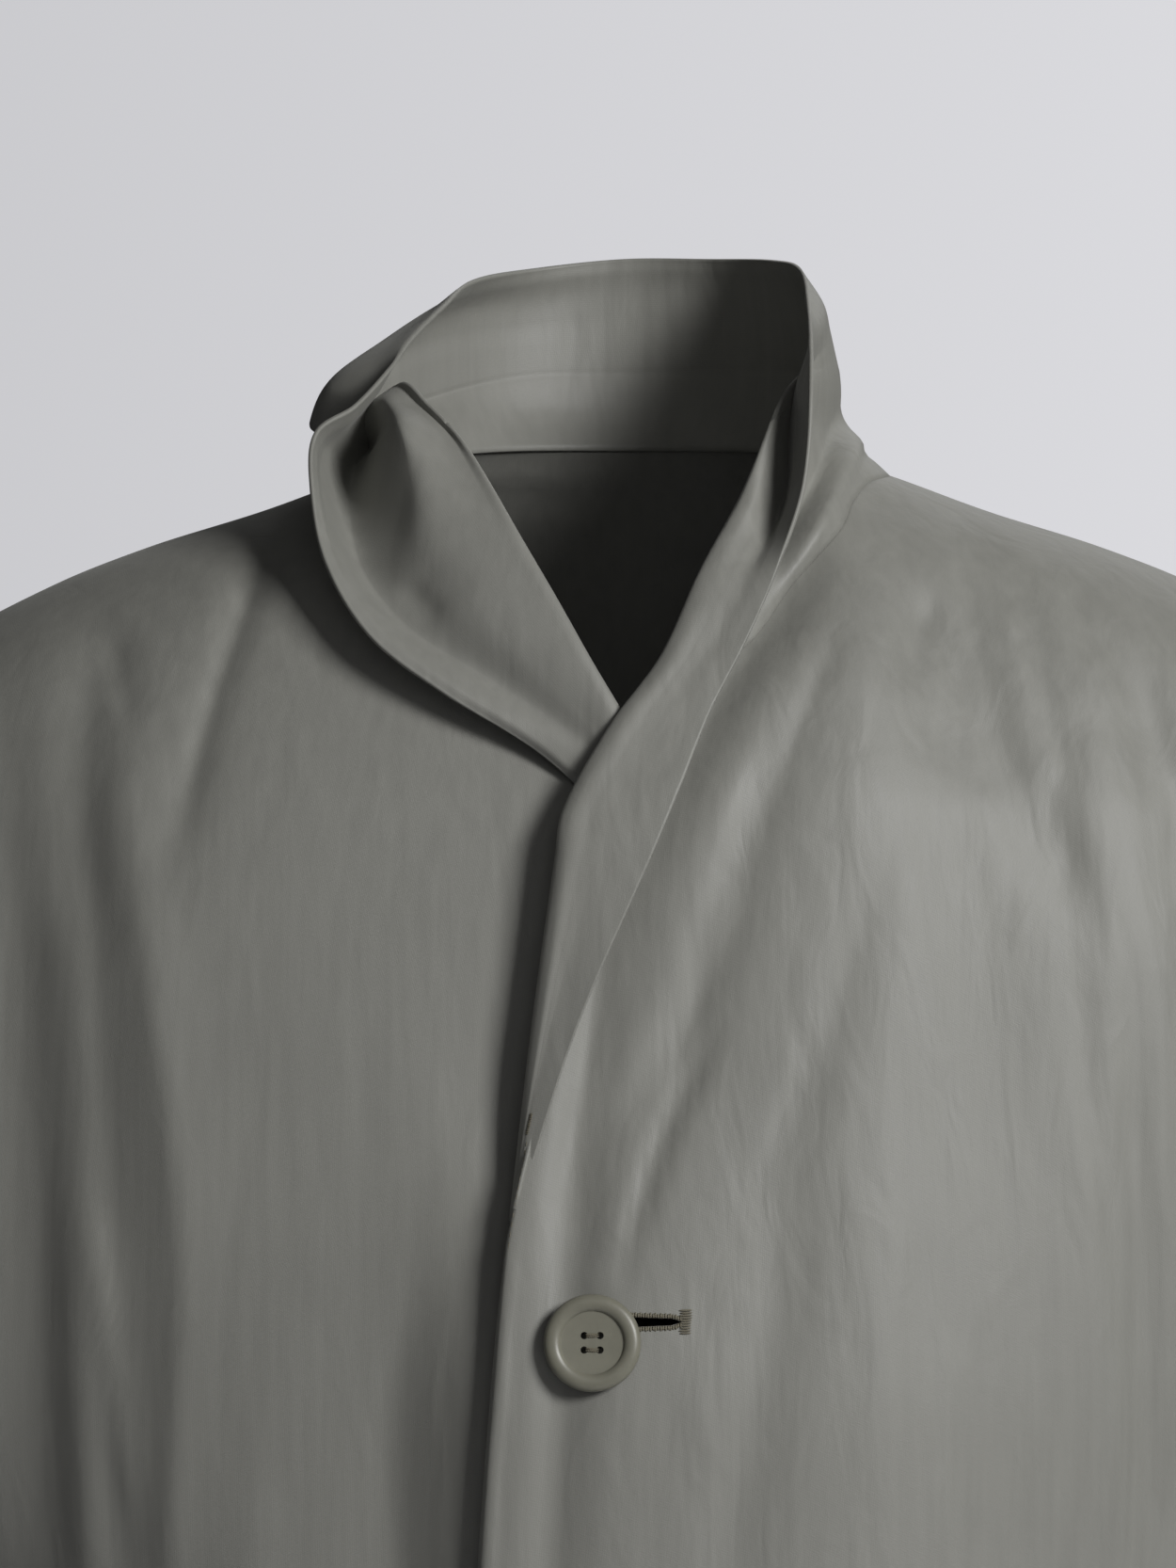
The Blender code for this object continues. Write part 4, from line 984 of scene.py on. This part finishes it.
def cloth_material():
    """Crisp smooth cloth with fine threads, faint streaks and a soft gloss."""
    if "coat cloth" in bpy.data.materials:
        return bpy.data.materials["coat cloth"]
    material, tree, shader = new_material("coat cloth")
    link = tree.links.new
    source = add_node(tree, "ShaderNodeTexCoord")
    coat, cut = source.outputs["Object"], source.outputs["UV"]
    sides = add_node(tree, "ShaderNodeSeparateXYZ")
    link(coat, sides.inputs[0])
    calm = spread(tree, sides.outputs["X"], -0.07, 0.03, 0.35, 1.0)
    streaks = noise(tree, stretch(tree, coat, (210, 210, 14)), Scale=1.0, Detail=4.0)
    clouds = noise(tree, coat, Scale=9.0, Detail=3.0)
    grain = noise(tree, cut, Scale=1100.0, Detail=2.0)
    hang = noise(tree, stretch(tree, coat, (48, 48, 5), tilt=6), Scale=1.0, Detail=3.0, Distortion=0.4)
    dents = noise(tree, stretch(tree, coat, (62, 62, 22), tilt=14), Scale=1.0, Detail=2.0,
                  Roughness=0.4, Distortion=1.0)
    warp = wave(tree, cut, bands_direction="X", Scale=420.0, Distortion=1.2)
    weft = wave(tree, cut, bands_direction="Y", Scale=420.0, Distortion=1.2)

    tone = add_node(tree, "ShaderNodeMath", operation="MULTIPLY")
    link(combine(tree, "ADD", streaks, clouds), tone.inputs[0])
    tone.inputs[1].default_value = 0.5
    colour = bpy.context.scene.coat_colours.cloth
    link(two_tone(tree, tone.outputs[0], colour, 0.90, 1.09, 0.30, 0.72), shader.inputs["Base Color"])

    normal = bump(tree, combine(tree, "MULTIPLY", warp, weft), 0.10, 0.0002)
    normal = bump(tree, grain, 0.15, 0.0003, normal)
    normal = bump(tree, streaks, 0.16, 0.0006, normal)
    normal = bump(tree, combine(tree, "MULTIPLY", hang, calm), 0.24, 0.0030, normal)
    normal = bump(tree, combine(tree, "MULTIPLY", dents, calm), 0.24, 0.0030, normal)
    link(normal, shader.inputs["Normal"])
    link(spread(tree, streaks, 0, 1, 0.46, 0.60), shader.inputs["Roughness"])
    shader.inputs["Specular IOR Level"].default_value = 0.42
    shader.inputs["Sheen Weight"].default_value = 0.12
    shader.inputs["Sheen Roughness"].default_value = 0.45
    shader.inputs["Sheen Tint"].default_value = (0.9, 0.9, 0.86, 1)
    return material


def button_material():
    """Matt plastic, faintly mottled and scratched."""
    if "coat button" in bpy.data.materials:
        return bpy.data.materials["coat button"]
    material, tree, shader = new_material("coat button")
    coat = add_node(tree, "ShaderNodeTexCoord").outputs["Object"]
    mottle = noise(tree, coat, Scale=220.0, Detail=4.0)
    scratch = noise(tree, coat, Scale=1500.0, Detail=2.0)
    colour = two_tone(tree, mottle, bpy.context.scene.coat_colours.button, 0.88, 1.14)
    tree.links.new(colour, shader.inputs["Base Color"])
    tree.links.new(bump(tree, scratch, 0.08, 0.0002), shader.inputs["Normal"])
    shader.inputs["Roughness"].default_value = 0.38
    shader.inputs["Specular IOR Level"].default_value = 0.45
    return material


def thread_material():
    """Twisted sewing thread."""
    if "coat thread" in bpy.data.materials:
        return bpy.data.materials["coat thread"]
    material, tree, shader = new_material("coat thread")
    coat = add_node(tree, "ShaderNodeTexCoord").outputs["Object"]
    twist = wave(tree, coat, bands_direction="DIAGONAL", Scale=900.0, Distortion=2.0)
    colour = two_tone(tree, twist, bpy.context.scene.coat_colours.thread, 0.75, 1.2)
    tree.links.new(colour, shader.inputs["Base Color"])
    tree.links.new(bump(tree, twist, 0.3, 0.0002), shader.inputs["Normal"])
    shader.inputs["Roughness"].default_value = 0.6
    return material


# ---- Sewing ----------------------------------------------------------------
def grain_mesh():
    """A small round grain, the model of every stitch."""
    shape = bmesh.new()
    bmesh.ops.create_uvsphere(shape, u_segments=6, v_segments=5, radius=1.0)
    return finish_mesh(shape, "grain")


def add_stitch(shape, grain, place, along, outward, length, width):
    """One stitch lying on the cloth: a grain drawn out along the thread."""
    side = np.cross(outward, along)
    columns = (side * width / 2, outward * width * STITCH_FLATNESS, along * length / 2, place)
    turn = Matrix.Identity(4)
    for column, axis in enumerate(columns):
        for row in range(3):
            turn[row][column] = axis[row] * MM
    drawn = grain.copy()
    drawn.transform(turn)
    shape.from_mesh(drawn)
    bpy.data.meshes.remove(drawn)


def stitch_piece(name, stitches):
    """A piece made of stitches, each (place, along, outward, length, width)."""
    shape = bmesh.new()
    grain = grain_mesh()
    for stitch in stitches:
        add_stitch(shape, grain, *stitch)
    bpy.data.meshes.remove(grain)
    bmesh.ops.recalc_face_normals(shape, faces=shape.faces)
    mesh = finish_mesh(shape, name)
    mesh.shade_smooth()
    mesh.materials.append(thread_material())
    return carry(new_item(name, mesh), None)


def topstitch(line, outward, lift):
    """Evenly spaced stitches along a line of points that lie on the cloth."""
    steps = np.linalg.norm(np.diff(line, axis=0), axis=1)
    passed = np.concatenate(([0], np.cumsum(steps)))
    marks = np.arange(STITCH_PITCH / 2, passed[-1], STITCH_PITCH)
    places = np.stack([np.interp(marks, passed, line[:, k]) for k in range(3)], -1)
    ahead = np.stack([np.interp(marks + 0.5, passed, line[:, k]) for k in range(3)], -1)
    out = unit(np.stack([np.interp(marks, passed, outward[:, k]) for k in range(3)], -1))
    along = unit(ahead - places)
    out = unit(out - along * (out * along).sum(-1, keepdims=True))
    return [(place + up * lift, way, up, STITCH_LENGTH, STITCH_WIDTH)
            for place, way, up in zip(places, along, out)]


def hem_line(layer, first, last, height):
    """Points and outward directions of the body along one level."""
    angles = np.linspace(first, last, HEM_MARKS)
    here = body_point(layer, angles, np.full(HEM_MARKS, float(height)))
    above = body_point(layer, angles, np.full(HEM_MARKS, height + 2.0))
    return here, unit(np.cross(np.gradient(here, axis=0), above - here))


def lay_on(cloth, across, height):
    """Where a place of the front view meets a finished sheet, and its outward side."""
    start = Vector((across * MM, -0.5, height * MM))
    hit, place, normal, _ = cloth.ray_cast(start, (0, 1, 0))
    if not hit:
        raise RuntimeError(f"no cloth behind {across}, {height}")
    if normal.y > 0:
        normal = -normal
    return np.array(place) / MM, np.array(normal)


def laid_stitch(cloth, start, end, width, lift=0.15):
    """A stitch between two places of the front view, laid on a finished sheet."""
    first, normal = lay_on(cloth, *start)
    last, _ = lay_on(cloth, *end)
    along = unit(last - first)
    out = unit(normal - along * (normal @ along))
    length = float(np.linalg.norm(last - first))
    return (first + last) / 2 + out * lift, along, out, length, width


def hole_gape(across):
    """Half the open height of a buttonhole at this place along it."""
    part = (across - HOLE_LEFT) / (HOLE_RIGHT - HOLE_LEFT)
    return blend(HOLE_GAPE, HOLE_GAPE_END, part) / 2 * min(1.0, 8 * part, 14 * (1 - part))


def hole_stitches(cloth, centre):
    """Bars of close stitches along both sides of a slit, and a tack across its end.

    The sines make the stitches a little uneven.
    """
    x, z = float(centre[0]), float(centre[2]) + HOLE_RISE
    stitches = []
    for across in np.arange(HOLE_LEFT, HOLE_RIGHT, BAR_PITCH):
        near = hole_gape(across) * 0.9
        far = near + BAR_REACH + 0.15 * math.sin(across * 3.7)
        lean = 0.12 * math.sin(across * 5.1)
        for way in (1, -1):
            start = (x + across, z + way * near)
            end = (x + across + lean, z + way * far)
            stitches.append(laid_stitch(cloth, start, end, BAR_PITCH * 1.15))
    near = x + HOLE_RIGHT - TACK_OVERLAP
    for step in np.arange(-TACK_HEIGHT / 2, TACK_HEIGHT / 2 + 0.01, BAR_PITCH):
        start = (near + 0.2 * math.sin(step * 5), z + step)
        end = (near + TACK_WIDTH + 0.25 * math.sin(step * 7), z + step + 0.1)
        stitches.append(laid_stitch(cloth, start, end, BAR_PITCH * 0.9, lift=0.35))
    return stitches


def slit_cutter(centres):
    """One closed prism through the cloth for each buttonhole's slit."""
    marks = np.linspace(HOLE_LEFT, HOLE_RIGHT, 25)
    rim = [(a, hole_gape(a)) for a in marks] + [(a, -hole_gape(a)) for a in marks[-2:0:-1]]
    shape = bmesh.new()
    for centre in centres:
        x, y, z = centre[0], centre[1] - SLIT_REACH, centre[2] + HOLE_RISE
        face = shape.faces.new([shape.verts.new(Vector((x + a, y, z + h)) * MM) for a, h in rim])
        deep = bmesh.ops.extrude_face_region(shape, geom=[face])
        moved = [item for item in deep["geom"] if isinstance(item, bmesh.types.BMVert)]
        bmesh.ops.translate(shape, verts=moved, vec=(0, 2 * SLIT_REACH * MM, 0))
    bmesh.ops.recalc_face_normals(shape, faces=shape.faces)
    return new_item("slits", finish_mesh(shape, "slits"))


def cut_holes(cloth, centres):
    """Cut the open slits of the buttonholes; the cloth keeps its smooth shading."""
    cutter = slit_cutter(centres)
    bake_modifiers(cloth)
    whole = new_item("whole", cloth.data.copy())
    slit = cloth.modifiers.new("slit", "BOOLEAN")
    slit.object = cutter
    shading = cloth.modifiers.new("shading", "DATA_TRANSFER")
    shading.object = whole
    shading.use_loop_data = True
    shading.data_types_loops = {"CUSTOM_NORMAL"}
    shading.loop_mapping = "POLYINTERP_NEAREST"
    bake_modifiers(cloth)
    for helper in (cutter, whole):
        bpy.data.objects.remove(helper, do_unlink=True)


def bake_modifiers(item):
    """Turn a piece's modifiers into mesh."""
    made = item.evaluated_get(bpy.context.evaluated_depsgraph_get())
    mesh = bpy.data.meshes.new_from_object(made)
    item.modifiers.clear()
    item.data = mesh


# ---- Buttons ---------------------------------------------------------------
def button_frame(index):
    """The middle of a button and the direction it faces, in millimetres."""
    height = BUTTON_TOP - BUTTON_PITCH * index
    across = float(read_table(LEFT_EDGE, height, 1)) + BUTTON_INSET
    angle = ring_angle(across, height)
    here, later, earlier, lower, upper = (
        body_frame("left", angle + turn, height + rise, creased=False)[0]
        for turn, rise in ((0, 0), (2, 0), (-2, 0), (0, -6), (0, 6)))
    facing = unit(np.cross(lower - upper, later - earlier))
    return here + facing * BUTTON_CLEARANCE, facing


def button_turn(facing):
    """The turn that lays a flat shape on the cloth, its Y axis up the coat."""
    outward = Vector(facing)
    right = Vector((0, 0, 1)).cross(outward).normalized()
    return Matrix((right, outward.cross(right), outward)).transposed().to_4x4()


# ---- Operators -------------------------------------------------------------
class COAT_OT_stage(bpy.types.Operator):
    """Floor, light, backdrop and camera"""

    bl_idname = "coat.stage"
    bl_label = "Stage"

    def execute(self, context):
        scene = context.scene
        colour = scene.coat_colours.backdrop
        scene.view_settings.view_transform = "Standard"
        camera = bpy.data.objects.new("camera", bpy.data.cameras.new("camera"))
        camera.data.lens = CAMERA_LENS
        camera.data.sensor_width = 36
        camera.location = CAMERA_PLACE
        camera.rotation_euler = (math.radians(90), 0, 0)
        scene.collection.objects.link(camera)
        scene.camera = camera
        for name, place, aim, size, power in LAMPS:
            lamp = bpy.data.objects.new(name, bpy.data.lights.new(name, "AREA"))
            lamp.data.size = size
            lamp.data.energy = power
            lamp.location = place
            lamp.rotation_euler = (Vector(aim) - Vector(place)).to_track_quat("-Z", "Y").to_euler()
            scene.collection.objects.link(lamp)
        self.make_world(scene, colour)
        self.make_floor(colour)
        return {"FINISHED"}

    def make_world(self, scene, colour):
        """A pale backdrop for the camera, with painted light brightening its right side, that lights the
        coat less.
        """
        scene.world = bpy.data.worlds.new("studio")
        scene.world.use_nodes = True
        tree = scene.world.node_tree
        link = tree.links.new
        seen = tree.nodes["Background"]
        parts = add_node(tree, "ShaderNodeSeparateXYZ")
        link(add_node(tree, "ShaderNodeTexCoord").outputs["Generated"], parts.inputs[0])
        painted_backdrop_light = add_node(tree, "ShaderNodeVectorMath", operation="SCALE")
        painted_backdrop_light.inputs[0].default_value = colour
        # painted light: the backdrop's colour is scaled up towards its right, as if the window lamp fell on
        # it there
        link(spread(tree, parts.outputs["X"], -0.11, 0.11, 0.96, 1.13), painted_backdrop_light.inputs["Scale"])
        link(painted_backdrop_light.outputs["Vector"], seen.inputs["Color"])
        lit = add_node(tree, "ShaderNodeBackground", Strength=WORLD_LIGHT)
        lit.inputs["Color"].default_value = (*colour, 1)
        choose = add_node(tree, "ShaderNodeMixShader")
        link(add_node(tree, "ShaderNodeLightPath").outputs["Is Camera Ray"], choose.inputs[0])
        link(lit.outputs[0], choose.inputs[1])
        link(seen.outputs[0], choose.inputs[2])
        link(choose.outputs[0], tree.nodes["World Output"].inputs["Surface"])

    def make_floor(self, colour):
        """A plain pale floor below the hem."""
        shape = bmesh.new()
        bmesh.ops.create_circle(shape, cap_ends=True, segments=96, radius=FLOOR_RADIUS)
        bmesh.ops.translate(shape, verts=shape.verts, vec=(0, 0, FLOOR_LEVEL))
        mesh = finish_mesh(shape, "floor")
        material, _, shader = new_material("studio floor")
        shader.inputs["Base Color"].default_value = (*colour, 1)
        shader.inputs["Roughness"].default_value = 0.9
        mesh.materials.append(material)
        new_item("floor", mesh)


class COAT_OT_fronts(bpy.types.Operator):
    """The two fronts"""

    bl_idname = "coat.fronts"
    bl_label = "Fronts"

    def execute(self, context):
        sizes = context.scene.coat_sizes
        wall, cloth = sizes.panel_wall, cloth_material()
        left = cloth_sheet("front_left_cloth", left_front_points(), wall, cloth)
        right = cloth_sheet("front_right_cloth", right_front_points(), wall, cloth)
        carry(left, "front_left")
        carry(right, "front_right")
        return {"FINISHED"}


class COAT_OT_back(bpy.types.Operator):
    """The back"""

    bl_idname = "coat.back"
    bl_label = "Back"

    def execute(self, context):
        sizes = context.scene.coat_sizes
        back = cloth_sheet("back_cloth", back_points(), sizes.panel_wall, cloth_material())
        carry(back, "back")
        return {"FINISHED"}


class COAT_OT_sleeves(bpy.types.Operator):
    """The two sleeves"""

    bl_idname = "coat.sleeves"
    bl_label = "Sleeves"

    def execute(self, context):
        sizes = context.scene.coat_sizes
        for name, centre, layer, way in (("left", 90, "left", -1), ("right", 270, "right", 1)):
            sleeve = cloth_sheet(f"sleeve_{name}_cloth", sleeve_points(centre, layer, way),
                                 sizes.panel_wall, cloth_material(), closed=True)
            carry(sleeve, f"sleeve_{name}")
        return {"FINISHED"}


class COAT_OT_collar(bpy.types.Operator):
    """The tall collar and its lapels"""

    bl_idname = "coat.collar"
    bl_label = "Collar"

    def execute(self, context):
        sizes = context.scene.coat_sizes
        collar = cloth_sheet("collar_cloth", collar_points(), sizes.collar_wall, cloth_material())
        carry(collar, "collar")
        return {"FINISHED"}


class COAT_OT_buttons(bpy.types.Operator):
    """The buttons with their thread"""

    bl_idname = "coat.buttons"
    bl_label = "Buttons"

    def execute(self, context):
        sizes = context.scene.coat_sizes
        for index in range(BUTTON_COUNT):
            centre, facing = button_frame(index)
            place = Matrix.Translation(Vector(centre) * MM) @ button_turn(facing)
            button = self.turned_button(f"button_{index + 1}_turned", sizes, place)
            carry(button, f"button_{index + 1}")
        return {"FINISHED"}

    def turned_button(self, name, sizes, place):
        """A disc with a round raised rim and a dished middle, bored with four holes."""
        radius, half = sizes.button_radius, sizes.button_thickness / 2
        shape = bmesh.new()
        verts = [shape.verts.new((x * radius, 0, z * half)) for x, z in BUTTON_PROFILE]
        edges = [shape.edges.new(pair) for pair in zip(verts, verts[1:])]
        bmesh.ops.spin(shape, geom=verts + edges, axis=(0, 0, 1), cent=(0, 0, 0), steps=64,
                       angle=2 * math.pi, use_merge=True)
        bmesh.ops.remove_doubles(shape, verts=shape.verts, dist=1e-6)
        bmesh.ops.recalc_face_normals(shape, faces=shape.faces)
        mesh = finish_mesh(shape, name)
        mesh.shade_smooth()
        mesh.materials.append(button_material())
        button = new_item(name, mesh)
        cutter = new_item("pins", self.pins())
        bore = button.modifiers.new("bore", "BOOLEAN")
        bore.object = cutter
        bake_modifiers(button)
        bpy.data.objects.remove(cutter, do_unlink=True)
        button.data.transform(place)
        button.data.set_sharp_from_angle(angle=math.radians(40))
        return button

    def pins(self):
        """The four pins that bore a button's holes."""
        shape = bmesh.new()
        for x in (-BORE_ACROSS, BORE_ACROSS):
            for y in (-BORE_UP, BORE_UP):
                pin = bmesh.ops.create_cone(shape, cap_ends=True, segments=20, depth=0.02,
                                            radius1=BORE_RADIUS * MM, radius2=BORE_RADIUS * MM)
                bmesh.ops.translate(shape, verts=pin["verts"], vec=(x * MM, y * MM, 0))
        return finish_mesh(shape, "pins")


class COAT_OT_sewing(bpy.types.Operator):
    """Buttonhole stitching, bar tack, topstitched hem and cuffs, thread in the buttons"""

    bl_idname = "coat.sewing"
    bl_label = "Sewing"

    def execute(self, context):
        cloth = bpy.data.objects["front_left_cloth"]
        strip = bpy.data.objects["collar_cloth"]
        context.view_layer.update()
        for index in range(BUTTON_COUNT):
            centre, facing = button_frame(index)
            stitch_piece(f"buttonhole_{index + 1}", hole_stitches(cloth, centre))
            stitch_piece(f"button_thread_{index + 1}", self.button_thread(centre, facing))
        stitch_piece("lapel_tack", self.lapel_tack(strip, cloth))
        lift = context.scene.coat_sizes.panel_wall / MM / 2 + TOPSTITCH_LIFT
        edge = ring_angle(float(read_table(LEFT_EDGE, HEM_HEIGHT, 1)), HEM_HEIGHT)
        inner = ring_angle(float(read_table(RIGHT_EDGE, HEM_HEIGHT, 1)), HEM_HEIGHT) + 360
        for layer, first, last in (
                ("left", edge + 0.6, 89.6), ("back", 90.4, 269.6), ("right", 270.4, inner - 0.6)):
            line, out = hem_line(layer, first, last, HEM_HEIGHT + HEM_DEPTH)
            stitch_piece(f"hem_stitches_{layer}", topstitch(line, out, lift))
        for name, centre, layer, way in (("left", 90, "left", -1), ("right", 270, "right", 1)):
            line, out = self.cuff_line(sleeve_points(centre, layer, way))
            stitch_piece(f"cuff_stitches_{name}", topstitch(line, out, lift))
        cut_holes(cloth, [button_frame(index)[0] for index in range(BUTTON_COUNT)])
        return {"FINISHED"}

    def button_thread(self, centre, facing):
        """Two bars of thread across the dish and a wound shank behind the button."""
        turn = np.array(button_turn(facing).to_3x3())
        right, up, out = turn[:, 0], turn[:, 1], turn[:, 2]
        stitches = []
        for y in (-BORE_UP, BORE_UP):
            for shift in (-THREAD_GAP, 0.0, THREAD_GAP):
                place = centre + up * (y + shift) + out * (THREAD_LIFT - 0.5 * abs(shift))
                along = unit(right + up * 0.06 * math.sin(7 * (y + shift)))
                stitches.append((place, along, out, THREAD_SPAN, THREAD_WIDTH))
        for level in np.arange(*SHANK_ENDS, SHANK_PITCH):
            for quarter in range(6):
                turned = quarter * math.pi / 3 + level
                side = right * math.cos(turned) + up * math.sin(turned)
                along = -right * math.sin(turned) + up * math.cos(turned)
                place = centre + side * SHANK_RADIUS + out * level
                stitches.append((place, along, side, *SHANK_STITCH))
        return stitches

    def lapel_tack(self, strip, cloth):
        """The close bar and the run of stitches at the low end of the left lapel."""
        (x, z), (end_x, end_z) = LAPEL_TACK
        stitches = []
        for step in np.linspace(0, 1, 13):
            across, height = blend(x, end_x, step), blend(z, end_z, step)
            start, end = (across - 0.6, height), (across + 0.5, height + 0.1)
            stitches.append(laid_stitch(strip, start, end, 0.5, lift=0.2))
        line = along_curve(np.array(LAPEL_STITCHES), np.linspace(0, len(LAPEL_STITCHES) - 1, 13))
        for start, end in zip(line[:-1], line[1:]):
            sheet = strip if start[1] > LAPEL_END else cloth
            stitches.append(laid_stitch(sheet, start, blend(start, end, 0.6), 0.35, lift=0.05))
        return stitches

    def cuff_line(self, points):
        """The ring of a sleeve a little above its open end, and its outward side."""
        lengths = np.linalg.norm(np.diff(points, axis=1), axis=-1).mean(0)
        from_end = np.concatenate((np.cumsum(lengths[::-1])[::-1], [0]))
        column = int(np.argmin(np.abs(from_end - CUFF_DEPTH)))
        ring = points[:, column]
        out = unit(ring - ring.mean(0))
        closed = np.concatenate((ring, ring[:1]))
        marks = np.linspace(0, len(ring), len(ring) * 6 + 1)
        return along_curve(closed, marks), along_curve(np.concatenate((out, out[:1])), marks)


class COAT_PT_panel(bpy.types.Panel):
    """Lists the coat's pieces and its sizes"""

    bl_idname = "COAT_PT_panel"
    bl_label = "Coat"
    bl_space_type = "VIEW_3D"
    bl_region_type = "UI"
    bl_category = "Coat"

    def draw(self, context):
        layout = self.layout
        for group in (context.scene.coat_sizes, context.scene.coat_colours):
            for name in group.__annotations__:
                layout.prop(group, name)
        for step in STEPS:
            layout.operator(step.bl_idname)


STEPS = (COAT_OT_stage, COAT_OT_fronts, COAT_OT_back, COAT_OT_sleeves, COAT_OT_collar,
         COAT_OT_buttons, COAT_OT_sewing)
CLASSES = (CoatSizes, CoatColours, *STEPS, COAT_PT_panel)


def register():
    for item in CLASSES:
        bpy.utils.register_class(item)
    bpy.types.Scene.coat_sizes = bpy.props.PointerProperty(type=CoatSizes)
    bpy.types.Scene.coat_colours = bpy.props.PointerProperty(type=CoatColours)


def unregister():
    del bpy.types.Scene.coat_colours
    del bpy.types.Scene.coat_sizes
    for item in reversed(CLASSES):
        bpy.utils.unregister_class(item)


def main():
    register()
    bpy.ops.coat.stage()
    bpy.ops.coat.fronts()
    bpy.ops.coat.back()
    bpy.ops.coat.sleeves()
    bpy.ops.coat.collar()
    bpy.ops.coat.buttons()
    bpy.ops.coat.sewing()


if __name__ == "__main__":
    main()
